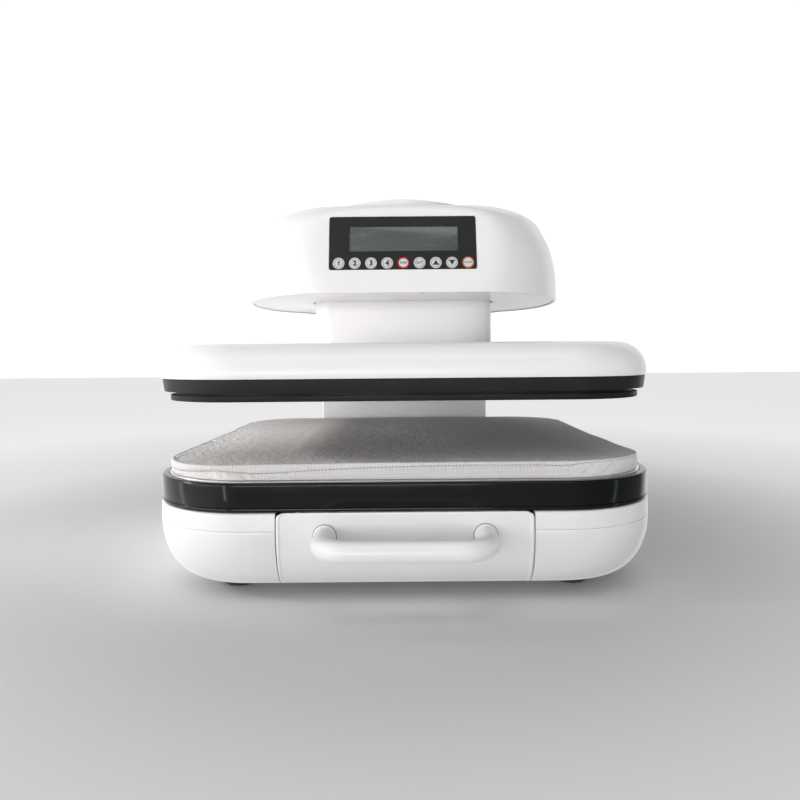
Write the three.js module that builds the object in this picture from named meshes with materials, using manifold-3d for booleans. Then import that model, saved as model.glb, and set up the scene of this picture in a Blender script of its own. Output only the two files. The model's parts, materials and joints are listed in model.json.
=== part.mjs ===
// Automatic heat press: a motor drives the heated upper platen down a lead screw,
// and the lower platen pulls out to the front on telescopic slides.
// Millimetres, +Z up, the front faces -Y. Every piece is placed about the press axis,
// x = 0 and y = 0, and the whole group is moved at the end so that the middle of its
// footprint is the origin.

import * as THREE from "three";
import { mergeVertices } from "three/addons/utils/BufferGeometryUtils.js";
import Module from "manifold-3d";

// Clearances and general sizes
const seatGap = 0.3; // between pieces that touch on the real press
const runGap = 0.4; // round a shaft, rod or slide that moves
const cutOverrun = 2; // how far a cutter runs past the face that it opens
const weldTolerance = 0.0005; // vertices closer than this are one

// The press size: the heat plate and the pad are squares of this width
const plateWidth = 380;

// Base: a bowl-shaped lower shell, an upper cover with a flat deck, four feet
const baseSideProud = 0.5; // how far its sides stand out past the rim
const baseCorner = 80;
const baseWall = 3;
const footHeight = 8;
const footRadius = 15;
const footEdge = 2;
const footHoleRadius = 5;
const footSideInset = 66;
const footEndInset = 62;
const bowlHeight = 47;
const bowlInset = 31;
const upperBaseHeight = 13.4;
const deckEdge = 2.2;

// Tray opening in the front of the base, and the steel channel behind it
const drawerSpread = 9; // how far it stands out past the shroud on each side
const drawerSideGap = 1.3;
const drawerFrontThickness = 4;
const drawerLip = 1.6; // height of the shell that stays under the drawer front
const channelWall = 2;
const channelFrontInset = 34;
const channelRearInset = 10; // from the rim's rear edge
const channelHeight = 44;

// Telescopic slides
const slideEndInset = 16; // left between the slides and the end of the channel
const slideHeight = 35;
const slideSheet = 1.4;
const slideThickness = 12.4;
const slideCentreHeight = 29; // above the floor of the base
const slideOuterLip = 9.5;
const slideMiddleStart = 3;
const slideMiddleLip = 7.5;
const slideInnerLip = 6.4;

// Lower tray: rim, cast plate, silicone pad, fabric cover
const trayGap = 0.8;
const rimSideMargin = 8; // between the pad and the rim's edge, at the sides
const rimEndMargin = 10; // and in front and behind
const rimShift = 3.6; // the rim's middle is this far in front of the press axis
const rimCorner = 80;
const rimHeight = 21.7;
const rimWall = 5.4;
const rimSkirt = 3;
const rimEdge = 2.4;
const rimLedgeWidth = 20;
const rimLedgeThickness = 2.8;
const rimGroove = 0.7;
const rimGrooveHeight = 2.6;
const lowerPlateProud = 0.6;
const lowerPlateThickness = 12;
const padCorner = 60;
const padEdgeHeight = 9;
const padCrown = 4;
const padCrownPower = 2.2; // how soon the crown flattens
const padCrownShares = [0.06, 0.16, 0.3, 0.48, 0.7, 0.86]; // rings, from the edge inwards
const padSideBulge = 1.4;
const padEdgeInset = 2.2;
const padEdgeLift = 0.2;
const padSideSteps = 8;
const padDrawIn = 2.2; // how far the sides pull in between the corners
const padCoverThickness = 2.2;
const siliconeThickness = 6.4;
const carriageSheet = 2;
const carriageFlangeDrop = 47;
const carriageTieDrop = 6; // how far under the seam its front tie reaches
const carriageInset = 40; // from the pad's edge

// Pull handle
const handleSpan = 116;
const handleReach = 40;
const handleTubeRadius = 7.6;
const handleBend = 17;
const handleFootRadius = 8.6;
const handleFootHeight = 3;
const handleZ = 51.5;

// Upper platen
const pressStroke = 42;
const pressClearance = 0.7; // left between the plates when the press is closed
const heatPlateCorner = 61;
const heatFlangeHeight = 4.4;
const heatFlangeEdge = 1.1;
const heatBodyInset = 4;
const heatBodyHeight = 22;
const bandLift = 2.4; // height of the bright neck under the band
const bandInset = 1;
const bandTaper = 1.4;
const bandHeight = 10.4;
const bandWall = 8;
const platenMargin = 9; // how far the cover stands out past the heat plate
const platenCorner = 77;
const platenHeight = 26.4;
const platenEdge = 22;
const platenWall = 2.6;
const insulationThickness = 4;
const insulationInset = 4; // from the body of the heat plate
const probeRadius = 2.5;
const probeLength = 60;

// Lift: shroud, yoke, lead screw, nut, guide rods and bushes
const shroudWidth = 167;
const shroudDepth = 90;
const shroudCorner = 21;
const shroudWall = 2.4;
const shroudShownHeight = 41.8;
const shroudHeadOverlap = 51;
const yokePlateInset = 70; // from the heat plate's edge
const yokePlateDepth = 150;
const yokePlateThickness = 4;
const yokeCheekThickness = 4;
const yokeCheekInset = 13.5; // from the shroud's outside
const yokeCheekDepth = 56;
const yokeBridgeHeight = 71; // underside of the bridge above the platen cover
const yokeBridgeThickness = 8;
const screwRadius = 7;
const journalRadius = 6.5;
const screwEndClearance = 16;
const nutFlangeRadius = 17;
const nutBodyRadius = 12;
const nutFlangeHeight = 4;
const guideRodInset = 22; // from the yoke's cheeks
const guideRodRadius = 6;
const bushRadius = 10.5;
const bushLength = 26;

// Drive gears, motor and bearing
const gearModule = 2.5;
const pinionTeeth = 15;
const screwGearTeeth = 45;
const gearThickness = 8;
const gearRise = 4; // over the head plate
const gearWindows = 6;
const gearWindowShare = 0.56; // where they stand, as a share of the pitch radius
const gearRootShare = 1.3; // depth of a tooth's root, in modules
const pressureAngle = 20; // degrees
const gearBacklashAngle = 0.012; // radians taken off each tooth flank of the wheel
const motorRadius = 17.5;
const motorHeight = 46;
const motorShaftRadius = 3;
const bearingRadius = 14;
const bearingHeight = 8;

// Steel frame
const frameSheet = 4;
const frameBaseHeight = 34;
const frameFrontInset = 60;
const frameUprightDepth = 82;
const frameRearGap = 2.4;
const frameArmDrop = 40;
const frameArmFrontY = -62;
const headPlateThickness = 6;
const headPlateGap = 2.7; // over the raised shroud
const braceThickness = 3;
const braceHeight = 160;

// Rear column cover
const columnSideGap = 9.4; // from the frame's sides to the outside
const columnGap = 6.6; // behind the rim
const columnDepth = 105;
const columnWall = 2;
const columnEdge = 3;

// Head housing
const headSpread = 68.8; // how far it stands out past the shroud on each side
const headCentreY = 9;
const headFrontReach = 161.5;
const headRearReach = 134.3;
const headHeight = 93.1;
const headFaceFrontY = -137.6; // the leaning face at the height of the underside
const headFaceLean = 12.4; // degrees
const headFaceHeight = 73;
const headTopSlope = 11; // degrees, rising from the face's top edge
const headWall = 3;
const neckSideGap = 8.9; // from the frame's sides to the outside
const neckHeight = 76;
const neckEdge = 22;
const neckCorner = 14;
const headRiseShare = 2.8; // how late the dome falls in, as a power of the height
const headSideShare = 0.221; // how sharply its sides and rear round over
const headFrontShare = 0.162; // the same in front, which is squarer
const headTopShare = 0.985; // how far up its curve the dome is cut flat
const headFrontPowerShare = 2.22; // squareness of its outline in front
const headRearPowerShare = 2.5; // and behind
const capRadius = 60;
const capHeight = 12;
const headFloorThickness = 2.5;
const headFloorRecess = 0.8;
const headSlotGap = 2.2;

// Control panel on the leaning face
const panelWidth = 122;
const panelHeight = 46.5;
const panelThickness = 2;
const panelProud = 0.5;
const panelCorner = 1.6;
const panelFrame = 1.2; // the panel's margin over the hole in the housing
const panelBottomRise = 20; // above the underside, along the face
const windowWidth = 90.5;
const windowHeight = 21;
const windowTopMargin = 7.2;
const windowShift = 0.8; // the window sits a little right of the middle
const screenThickness = 5;
const screenRecess = 0.6;
const keyRadius = 4.9;
const keyPitch = 13.5;
const keyBottomMargin = 6.1;
const keyProud = 0.5;
const keyFlange = 0.5;
const keyClearance = 0.2;
const keyEdge = 0.3;
const keyFlangeHeight = 0.8;
const keyTravel = 0.5;
const boardThickness = 1.6;
const boardMargin = 6;
const boardRise = 1.5;

// Power entry on the back of the column: socket and rocker in one moulded module
const inletWidth = 31;
const inletHeight = 62;
const inletFlange = 2;
const inletDepth = 24;
const inletSideInset = 46.5; // its middle, from the column's side
const inletRise = 46; // centre above the deck
const socketWidth = 24;
const socketHeight = 17;
const socketDepth = 16;
const socketDrop = 13;
const socketBevel = 4.2;
const bladeThickness = 2;
const bladeHeight = 4.2;
const bladePitch = 7;
const bladeShift = 1; // the middle blade stands this much higher, the others lower
const rockerWidth = 15;
const rockerHeight = 20;
const rockerDepth = 9;
const rockerTilt = 8; // degrees
const rockerGap = 0.5;
const rockerRise = 16;
const rockerPivotDepth = 4.5;
const rockerWaistShare = 0.45;
const supplyWidth = 90;
const supplyDepth = 44;
const supplyHeight = 110;
const supplyRise = 18;

// Facets
const cornerSteps = 6;
const edgeSteps = 5;
const smallEdgeSteps = 4;
const roundSides = 24;
const handleSteps = 34;
const smallSides = 12;
const headSides = 48;
const headLevels = 9;

// Widths, depths, heights and places that follow from the sizes above
const rimWidth = plateWidth + 2 * rimSideMargin;
const rimDepth = plateWidth + 2 * rimEndMargin;
const baseWidth = rimWidth + 2 * baseSideProud;
const baseFrontY = -rimShift - rimDepth / 2;
const columnFrontY = rimDepth / 2 - rimShift + columnGap;
const baseRearY = columnFrontY + columnDepth;
const platenWidth = plateWidth + 2 * platenMargin;
const channelLength = rimDepth - channelFrontInset - channelRearInset;
const slideLength = channelLength - slideEndInset;
const carriageWidth = plateWidth - 2 * carriageInset;
const yokePlateWidth = plateWidth - 2 * yokePlateInset;
const yokeCheekX = shroudWidth / 2 - yokeCheekInset;
const guideRodX = yokeCheekX - guideRodInset;
const headHalfWidth = shroudWidth / 2 + headSpread;
const baseFloorZ = footHeight;
const seamZ = baseFloorZ + bowlHeight;
const deckZ = seamZ + upperBaseHeight;
const rimBottomZ = deckZ + trayGap;
const rimTopZ = rimBottomZ + rimHeight;
const rimCentreY = baseFrontY + rimDepth / 2;
const lowerPlateTopZ = rimTopZ + lowerPlateProud;
const lowerPlateBottomZ = lowerPlateTopZ - lowerPlateThickness;
const padBottomZ = lowerPlateTopZ + seatGap;
const padTopZ = padBottomZ + padEdgeHeight + padCrown;
const heatPlateZ = padTopZ + pressClearance + pressStroke;
const heatFlangeTopZ = heatPlateZ + heatFlangeHeight;
const bandBottomZ = heatFlangeTopZ + bandLift;
const platenBottomZ = bandBottomZ + bandHeight;
const platenTopZ = platenBottomZ + platenHeight;
const headBottomZ = platenTopZ + shroudShownHeight;
const headTopZ = headBottomZ + headHeight;
const shroudTopZ = headBottomZ + shroudHeadOverlap;
const headPlateZ = shroudTopZ + headPlateGap;
const headPlateTopZ = headPlateZ + headPlateThickness;
const gearZ = headPlateTopZ + gearRise;
const gearCentreDistance = (gearModule * (pinionTeeth + screwGearTeeth)) / 2;
const yokePlateTopZ = platenTopZ - platenWall - seatGap;
const yokeBridgeZ = platenTopZ + yokeBridgeHeight;
const drawerHalf = shroudWidth / 2 + drawerSpread;
const channelHalf = drawerHalf + seatGap;
const frameInnerX = channelHalf + channelWall + seatGap;
const frameOuterX = frameInnerX + frameSheet;
const columnWidth = 2 * (frameOuterX + columnSideGap);
const neckWidth = 2 * (frameOuterX + neckSideGap);
const inletX = columnWidth / 2 - inletSideInset;
const channelFloorZ = baseFloorZ + baseWall + seatGap;
const slideZ = baseFloorZ + baseWall + slideCentreHeight + seatGap;
const lean = THREE.MathUtils.degToRad(headFaceLean);

const wasm = await Module();
wasm.setup();

// A closed geometry as a solid that can be joined and cut
function solid(geometry) {
  const bare = geometry.clone();
  bare.deleteAttribute("normal");
  bare.deleteAttribute("uv");
  const merged = mergeVertices(bare, weldTolerance);
  const triVerts = new Uint32Array(merged.index.array);
  const made = () =>
    new wasm.Manifold(
      new wasm.Mesh({
        numProp: 3,
        vertProperties: merged.attributes.position.array,
        triVerts,
      }),
    );
  const first = made();
  if (first.volume() > 0) return first;
  for (let i = 0; i < triVerts.length; i += 3)
    [triVerts[i + 1], triVerts[i + 2]] = [triVerts[i + 2], triVerts[i + 1]];
  return made();
}

function join(first, ...others) {
  return others.reduce((sum, other) => sum.add(other), first);
}

function cut(first, ...others) {
  return others.reduce((rest, other) => rest.subtract(other), first);
}

// A box between two corners
function block(x, y, z) {
  const g = new THREE.BoxGeometry(x[1] - x[0], y[1] - y[0], z[1] - z[0]);
  g.translate((x[0] + x[1]) / 2, (y[0] + y[1]) / 2, (z[0] + z[1]) / 2);
  return solid(g);
}

// An upright cylinder
function post(radius, z, x = 0, y = 0, sides = roundSides) {
  const g = new THREE.CylinderGeometry(radius, radius, z[1] - z[0], sides);
  g.rotateX(Math.PI / 2);
  g.translate(x, y, (z[0] + z[1]) / 2);
  return solid(g);
}

function shapeOf(points) {
  return new THREE.Shape(points.map(([a, b]) => new THREE.Vector2(a, b)));
}

// A flat outline (x, y) made thick from z[0] to z[1]
function plate(points, z) {
  const g = new THREE.ExtrudeGeometry(shapeOf(points), {
    depth: z[1] - z[0],
    bevelEnabled: false,
  });
  g.translate(0, 0, z[0]);
  return solid(g);
}

// A side outline (y, z) drawn out from x[0] to x[1]
function beamX(points, x) {
  const g = new THREE.ExtrudeGeometry(shapeOf(points), {
    depth: x[1] - x[0],
    bevelEnabled: false,
  });
  g.applyMatrix4(
    new THREE.Matrix4().makeBasis(
      new THREE.Vector3(0, 1, 0),
      new THREE.Vector3(0, 0, 1),
      new THREE.Vector3(1, 0, 0),
    ),
  );
  g.translate(x[0], 0, 0);
  return solid(g);
}

// A front outline (x, z) drawn out from y[0] to y[1]
function beamY(points, y) {
  const g = new THREE.ExtrudeGeometry(shapeOf(points), {
    depth: y[1] - y[0],
    bevelEnabled: false,
  });
  g.rotateX(Math.PI / 2);
  g.translate(0, y[1], 0);
  return solid(g);
}

// A profile of radius and height turned about an upright axis
function turned(profile, x = 0, y = 0, sides = roundSides) {
  const g = new THREE.LatheGeometry(
    profile.map(([r, z]) => new THREE.Vector2(r, z)),
    sides,
  );
  g.rotateX(Math.PI / 2);
  g.translate(x, y, 0);
  return solid(g);
}

// A quarter round from (a0, b0) to (a1, b1). It leaves the first point along a where
// alongFirst is true, and along b where it is false.
function quarter(a0, b0, a1, b1, steps, alongFirst) {
  return Array.from({ length: steps + 1 }, (unused, i) => {
    const angle = (i / steps) * (Math.PI / 2);
    return alongFirst
      ? [a0 + (a1 - a0) * Math.sin(angle), b0 + (b1 - b0) * (1 - Math.cos(angle))]
      : [a0 + (a1 - a0) * (1 - Math.cos(angle)), b0 + (b1 - b0) * Math.sin(angle)];
  });
}

// The points of a rectangle with round corners, drawn in by an inset
function roundRect({ width, depth, corner, x = 0, y = 0 }, inset = 0) {
  const radius = Math.max(corner - inset, runGap);
  const halfX = width / 2 - inset - radius;
  const halfY = depth / 2 - inset - radius;
  const signs = [[1, 1], [-1, 1], [-1, -1], [1, -1]];
  return signs.flatMap(([sx, sy], k) =>
    Array.from({ length: cornerSteps + 1 }, (unused, i) => {
      const angle = (k + i / cornerSteps) * (Math.PI / 2);
      return [
        x + sx * halfX + radius * Math.cos(angle),
        y + sy * halfY + radius * Math.sin(angle),
      ];
    }),
  );
}

// Rings of points, each with as many, skinned into one closed body. Open stacks get a
// fan at each end, and a closed one joins its last ring to its first.
function skin(rings, closed = false) {
  const size = rings[0].length;
  const points = rings.flat();
  const faces = [];
  const bands = closed ? rings.length : rings.length - 1;
  for (let r = 0; r < bands; r += 1)
    for (let i = 0; i < size; i += 1) {
      const a = r * size + i;
      const b = r * size + ((i + 1) % size);
      const c = ((r + 1) % rings.length) * size + i;
      const d = ((r + 1) % rings.length) * size + ((i + 1) % size);
      faces.push(a, b, d, a, d, c);
    }
  if (!closed)
    [0, rings.length - 1].forEach((r) => {
      const middle = [0, 1, 2].map(
        (k) => rings[r].reduce((sum, p) => sum + p[k], 0) / size,
      );
      const centre = points.push(middle) - 1;
      for (let i = 0; i < size; i += 1) {
        const a = r * size + i;
        const b = r * size + ((i + 1) % size);
        faces.push(...(r === 0 ? [centre, b, a] : [centre, a, b]));
      }
    });
  const g = new THREE.BufferGeometry();
  g.setAttribute("position", new THREE.Float32BufferAttribute(points.flat(), 3));
  g.setIndex(faces);
  return solid(g);
}

// A round-cornered pan or ring: a profile of [inset, z] carried round the outline
function pan(outline, profile, closed = false) {
  return skin(
    profile.map(([inset, z]) => roundRect(outline, inset).map(([x, y]) => [x, y, z])),
    closed,
  );
}

// A round-cornered plate of one thickness
function roundPlate(outline, z) {
  return plate(roundRect(outline), z);
}

function paint(color, roughness, metalness = 0) {
  return () => new THREE.MeshStandardMaterial({ color, roughness, metalness });
}

const whiteShell = paint(0xf1f1f2, 0.38);
const whitePaint = paint(0xefeff0, 0.42);
const blackGloss = paint(0x141519, 0.22);
const blackMatt = paint(0x222429, 0.55);
const rubber = paint(0x1c1c1e, 0.85);
const steel = paint(0x9a9da1, 0.4, 0.9);
const brightSteel = paint(0xc9cbce, 0.25, 1);
const castAluminium = paint(0xb9bbbd, 0.5, 0.85);
const coatedCasting = paint(0x2b2624, 0.45);
const bronze = paint(0xa9804a, 0.4, 0.9);
const silicone = paint(0xc65a34, 0.7);
const fabric = paint(0xbdb9b6, 0.9);
const insulation = paint(0xd8cfae, 0.95);
const screenGlass = paint(0x4f5a55, 0.15);
const boardGreen = paint(0x1f5a38, 0.6);
const keyWhite = paint(0xd7d9da, 0.5);

const press = new THREE.Group();

function add(name, shape, material, parent = press) {
  const made = shape.getMesh();
  const g = new THREE.BufferGeometry();
  g.setAttribute("position", new THREE.BufferAttribute(made.vertProperties, 3));
  g.setIndex(new THREE.BufferAttribute(made.triVerts, 1));
  g.computeVertexNormals();
  const mesh = new THREE.Mesh(g, material());
  mesh.name = name;
  parent.add(mesh);
  return mesh;
}

const baseOutline = {
  width: baseWidth,
  depth: baseRearY - baseFrontY,
  corner: baseCorner,
  y: (baseRearY + baseFrontY) / 2,
};
const rimOutline = { width: rimWidth, depth: rimDepth, corner: rimCorner, y: rimCentreY };
const padOutline = { width: plateWidth, depth: plateWidth, corner: padCorner };
const platenOutline = { width: platenWidth, depth: platenWidth, corner: platenCorner };
const heatOutline = { width: plateWidth, depth: plateWidth, corner: heatPlateCorner };
const shroudOutline = { width: shroudWidth, depth: shroudDepth, corner: shroudCorner };
const columnOutline = {
  width: columnWidth,
  depth: baseRearY - columnFrontY,
  corner: columnEdge,
  y: (baseRearY + columnFrontY) / 2,
};

const drawerOpening = drawerHalf + drawerSideGap;
const deckCutRearY = rimCentreY + rimDepth / 2 - rimLedgeWidth;
const notchRearY = baseFrontY + bowlInset - drawerLip;

function makeBase() {
  const notch = block(
    [-drawerOpening, drawerOpening],
    [baseFrontY - cutOverrun, notchRearY],
    [baseFloorZ + drawerLip, deckZ + cutOverrun],
  );
  const bowl = pan(baseOutline, [
    ...quarter(bowlInset, baseFloorZ, 0, seamZ, edgeSteps, true),
    ...quarter(
      bowlInset + baseWall, baseFloorZ + baseWall, baseWall, seamZ, edgeSteps, true,
    ).reverse(),
  ]);
  add("base_lower_shell", cut(bowl, notch), whiteShell);

  const seam = seamZ + seatGap;
  const cover = pan(baseOutline, [
    [baseCorner, deckZ],
    ...quarter(0, deckZ - deckEdge, deckEdge, deckZ, smallEdgeSteps, false).reverse(),
    [0, seam],
    [baseWall, seam],
    [baseWall, deckZ - baseWall],
    [baseCorner, deckZ - baseWall],
  ]);
  const deckCut = block(
    [-drawerOpening, drawerOpening],
    [baseFrontY - cutOverrun, deckCutRearY],
    [seamZ - cutOverrun, deckZ + cutOverrun],
  );
  const columnCut = block(
    [-frameOuterX - seatGap, frameOuterX + seatGap],
    [columnFrontY + columnWall + seatGap, baseRearY - columnWall - seatGap],
    [seamZ - cutOverrun, deckZ + cutOverrun],
  );
  add("base_upper_cover", cut(cover, deckCut, columnCut), whiteShell);

  const channelY = [baseFrontY + channelFrontInset, baseFrontY + channelFrontInset + channelLength];
  const top = channelFloorZ + channelHeight;
  add(
    "slide_channel",
    beamY([
      [-channelHalf - channelWall, channelFloorZ],
      [channelHalf + channelWall, channelFloorZ],
      [channelHalf + channelWall, top],
      [channelHalf, top],
      [channelHalf, channelFloorZ + channelWall],
      [-channelHalf, channelFloorZ + channelWall],
      [-channelHalf, top],
      [-channelHalf - channelWall, top],
    ], channelY),
    steel,
  );

  const footX = baseWidth / 2 - footSideInset;
  const footY = [baseFrontY + footEndInset, baseRearY - footEndInset];
  ["front", "rear"].forEach((end, i) =>
    ["left", "right"].forEach((side, j) => {
      const foot = turned([
        [0, footHeight / 2],
        [footHoleRadius, footHeight / 2],
        [footHoleRadius, 0],
        [footRadius - footEdge, 0],
        [footRadius, footEdge],
        [footRadius, footHeight - seatGap],
        [0, footHeight - seatGap],
      ], j ? footX : -footX, footY[i], smallSides);
      add(`foot_${end}_${side}`, foot, rubber);
    }),
  );
}

// One member of a telescopic slide: a C that is open towards "inward" or towards the
// wall, mirrored for the left side
function slideMember(side, start, end, half, openInward, y) {
  const at = (s) => side * (drawerHalf - s);
  const web = openInward ? [start, start + slideSheet] : [end - slideSheet, end];
  const tip = openInward ? end : start;
  const back = openInward ? start : end;
  const inner = openInward ? web[1] : web[0];
  const outline = [
    [at(back), slideZ - half],
    [at(tip), slideZ - half],
    [at(tip), slideZ - half + slideSheet],
    [at(inner), slideZ - half + slideSheet],
    [at(inner), slideZ + half - slideSheet],
    [at(tip), slideZ + half - slideSheet],
    [at(tip), slideZ + half],
    [at(back), slideZ + half],
  ];
  return beamY(outline, y);
}

function makeSlides() {
  const start = baseFrontY + channelFrontInset - channelWall;
  const y = [start, start + slideLength];
  const outerHalf = slideHeight / 2;
  const middleHalf = outerHalf - slideSheet - runGap;
  const innerHalf = middleHalf - slideSheet - runGap;
  const middleEnd = slideMiddleStart + slideMiddleLip;
  ["left", "right"].forEach((name, i) => {
    const side = i ? 1 : -1;
    add(
      `slide_outer_${name}`,
      slideMember(side, 0, slideOuterLip, outerHalf, true, y),
      brightSteel,
    );
    add(
      `slide_middle_${name}`,
      slideMember(side, slideMiddleStart, middleEnd, middleHalf, true, y),
      brightSteel,
    );
    add(
      `slide_inner_${name}`,
      slideMember(
        side, slideThickness - slideInnerLip, slideThickness, innerHalf, false, y,
      ),
      brightSteel,
    );
  });
}

function makeTray() {
  const ledgeTop = lowerPlateBottomZ - seatGap;
  const ledgeBottom = ledgeTop - rimLedgeThickness;
  const grooveZ = rimBottomZ + rimGrooveHeight;
  const ledgeIn = rimWall + rimLedgeWidth;
  add(
    "tray_rim",
    pan(rimOutline, [
      [rimGroove, rimBottomZ],
      [0, rimBottomZ + rimGroove],
      [0, grooveZ - rimGroove],
      [rimGroove, grooveZ],
      [0, grooveZ + rimGroove],
      ...quarter(0, rimTopZ - rimEdge, rimEdge, rimTopZ, smallEdgeSteps, false),
      [rimWall, rimTopZ],
      [rimWall, ledgeTop],
      [ledgeIn, ledgeTop],
      [ledgeIn, ledgeBottom],
      [rimSkirt, ledgeBottom],
      [rimSkirt, rimBottomZ],
    ], true),
    blackGloss,
  );
  const plateInset = rimWall + seatGap;
  const plateEdge = lowerPlateProud;
  add(
    "lower_plate",
    pan(rimOutline, [
      [plateInset, lowerPlateBottomZ],
      [plateInset, lowerPlateTopZ - plateEdge],
      [plateInset + plateEdge, lowerPlateTopZ],
    ]),
    castAluminium,
  );

  const sheet = carriageSheet;
  const flangeX = drawerHalf - slideThickness - seatGap;
  const topZ = ledgeBottom - seatGap - sheet;
  const frontY = baseFrontY + drawerFrontThickness + seatGap;
  const halfTop = carriageWidth / 2;
  const boss = block(
    [-halfTop / 2, halfTop / 2],
    [rimCentreY - carriageWidth / 4, rimCentreY + carriageWidth / 4],
    [topZ, lowerPlateBottomZ - seatGap],
  );
  const top = block(
    [-halfTop, halfTop],
    [rimCentreY - carriageWidth / 2, rimCentreY + carriageWidth / 2],
    [topZ, topZ + sheet],
  );
  const flangeY = [frontY, deckCutRearY - channelFrontInset];
  const flangeZ = [topZ + sheet - carriageFlangeDrop, topZ + sheet];
  const tieZ = seamZ - carriageTieDrop;
  const flanges = [-1, 1].map((side) =>
    beamX(
      [
        [frontY, tieZ],
        [frontY + bowlInset / 2, flangeZ[0]],
        [flangeY[1], flangeZ[0]],
        [flangeY[1], flangeZ[1]],
        [frontY, flangeZ[1]],
      ],
      [flangeX, flangeX - sheet].map((x) => side * x).sort((a, b) => a - b),
    ),
  );
  const tie = block([-flangeX, flangeX], [frontY, frontY + sheet], [tieZ, flangeZ[1]]);
  const apron = block(
    [-flangeX, flangeX],
    [frontY, rimCentreY - carriageWidth / 2 + sheet],
    [topZ, topZ + sheet],
  );
  add("tray_carriage", join(top, boss, apron, ...flanges, tie), steel);
}

// The front plate carries on the bowl's own curve, so that the closed tray is flush
function makeDrawerFront() {
  const topZ = rimBottomZ - trayGap;
  const bottomZ = baseFloorZ + drawerLip + trayGap;
  const wall = drawerFrontThickness;
  const along = (drop, inset) =>
    Array.from({ length: edgeSteps + 2 }, (unused, i) => {
      const z = bottomZ + ((seamZ - bottomZ) * i) / (edgeSteps + 1);
      const depthShare = (seamZ - z) / (bowlHeight + drop);
      return [
        baseFrontY + inset + (bowlInset - inset) * (1 - Math.sqrt(1 - depthShare ** 2)),
        z,
      ];
    });
  const outside = along(0, 0);
  const inside = along(-wall / 2, wall).filter(([, z]) => z > bottomZ);
  const outline = [
    ...outside,
    [baseFrontY, topZ - trayGap],
    [baseFrontY + trayGap, topZ],
    [baseFrontY + wall, topZ],
    ...inside.reverse(),
    [outside[0][0] + wall, bottomZ],
  ];
  add("drawer_front", beamX(outline, [-drawerHalf, drawerHalf]), whiteShell);

  const leg = handleSpan / 2;
  const faceY = baseFrontY - seatGap;
  const barY = baseFrontY - handleReach;
  const route = new THREE.CurvePath();
  const corner = (side) => new THREE.Vector3(side * leg, barY, handleZ);
  const onLeg = (side) => new THREE.Vector3(side * leg, barY + handleBend, handleZ);
  const onBar = (side) => new THREE.Vector3(side * (leg - handleBend), barY, handleZ);
  const foot = (side) => new THREE.Vector3(side * leg, faceY, handleZ);
  route.add(new THREE.LineCurve3(foot(-1), onLeg(-1)));
  route.add(new THREE.QuadraticBezierCurve3(onLeg(-1), corner(-1), onBar(-1)));
  route.add(new THREE.LineCurve3(onBar(-1), onBar(1)));
  route.add(new THREE.QuadraticBezierCurve3(onBar(1), corner(1), onLeg(1)));
  route.add(new THREE.LineCurve3(onLeg(1), foot(1)));
  const section = new THREE.Shape().absarc(0, 0, handleTubeRadius, 0, 2 * Math.PI);
  const tube = solid(
    new THREE.ExtrudeGeometry(section, {
      steps: handleSteps,
      extrudePath: route,
      curveSegments: smallSides / 2,
      bevelEnabled: false,
    }),
  );
  const roses = [-1, 1].map((side) => {
    const g = new THREE.CylinderGeometry(
      handleTubeRadius, handleFootRadius, handleFootHeight, roundSides,
    );
    g.rotateZ(Math.PI);
    g.translate(side * leg, faceY - handleFootHeight / 2, handleZ);
    return solid(g);
  });
  add("pull_handle", join(tube, ...roses), whiteShell);
}

// One ring of the pad: a round-cornered outline with points along its sides, which pull
// in between the corners
function padRing(inset, z) {
  const corners = roundRect(padOutline, inset);
  const perCorner = cornerSteps + 1;
  const ring = [];
  for (let k = 0; k < 4; k += 1) {
    ring.push(...corners.slice(k * perCorner, (k + 1) * perCorner));
    const from = corners[(k + 1) * perCorner - 1];
    const to = corners[((k + 1) * perCorner) % corners.length];
    const inward = [-1, 0, 1, 0][k];
    for (let i = 1; i < padSideSteps; i += 1) {
      const share = i / padSideSteps;
      const drawn = padDrawIn * Math.sin(Math.PI * share);
      const along = (n) => from[n] + (to[n] - from[n]) * share;
      ring.push([
        along(0) + drawn * [0, 1, 0, -1][k],
        along(1) + drawn * inward,
      ]);
    }
  }
  return ring.map(([x, y]) => [x, y, z]);
}

function makePad() {
  const edgeTop = padBottomZ + padEdgeHeight;
  const crownAt = (share) => edgeTop + padCrown * (1 - (1 - share) ** padCrownPower);
  const reach = plateWidth / 2;
  const middle = padBottomZ + padEdgeHeight / 2;
  const rings = [
    ...padCrownShares.map((share) => padRing(reach * share, crownAt(share))).reverse(),
    padRing(padEdgeInset, edgeTop + padEdgeLift),
    padRing(padSideBulge / 2, edgeTop - padSideBulge),
    padRing(0, middle),
    padRing(padSideBulge / 2, padBottomZ + padSideBulge),
    padRing(padSideBulge, padBottomZ),
  ];
  const cavity = roundPlate(
    {
      width: plateWidth - 2 * (padDrawIn + padCoverThickness),
      depth: plateWidth - 2 * (padDrawIn + padCoverThickness),
      corner: padCorner - padDrawIn - padCoverThickness,
    },
    [padBottomZ - cutOverrun, padBottomZ + siliconeThickness + seatGap],
  );
  add("pad_cover", cut(skin(rings), cavity), fabric);
  const edge = padDrawIn + padCoverThickness + seatGap;
  add(
    "silicone_pad",
    roundPlate(
      {
        width: plateWidth - 2 * edge,
        depth: plateWidth - 2 * edge,
        corner: padCorner - edge,
      },
      [padBottomZ, padBottomZ + siliconeThickness],
    ),
    silicone,
  );
}

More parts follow.
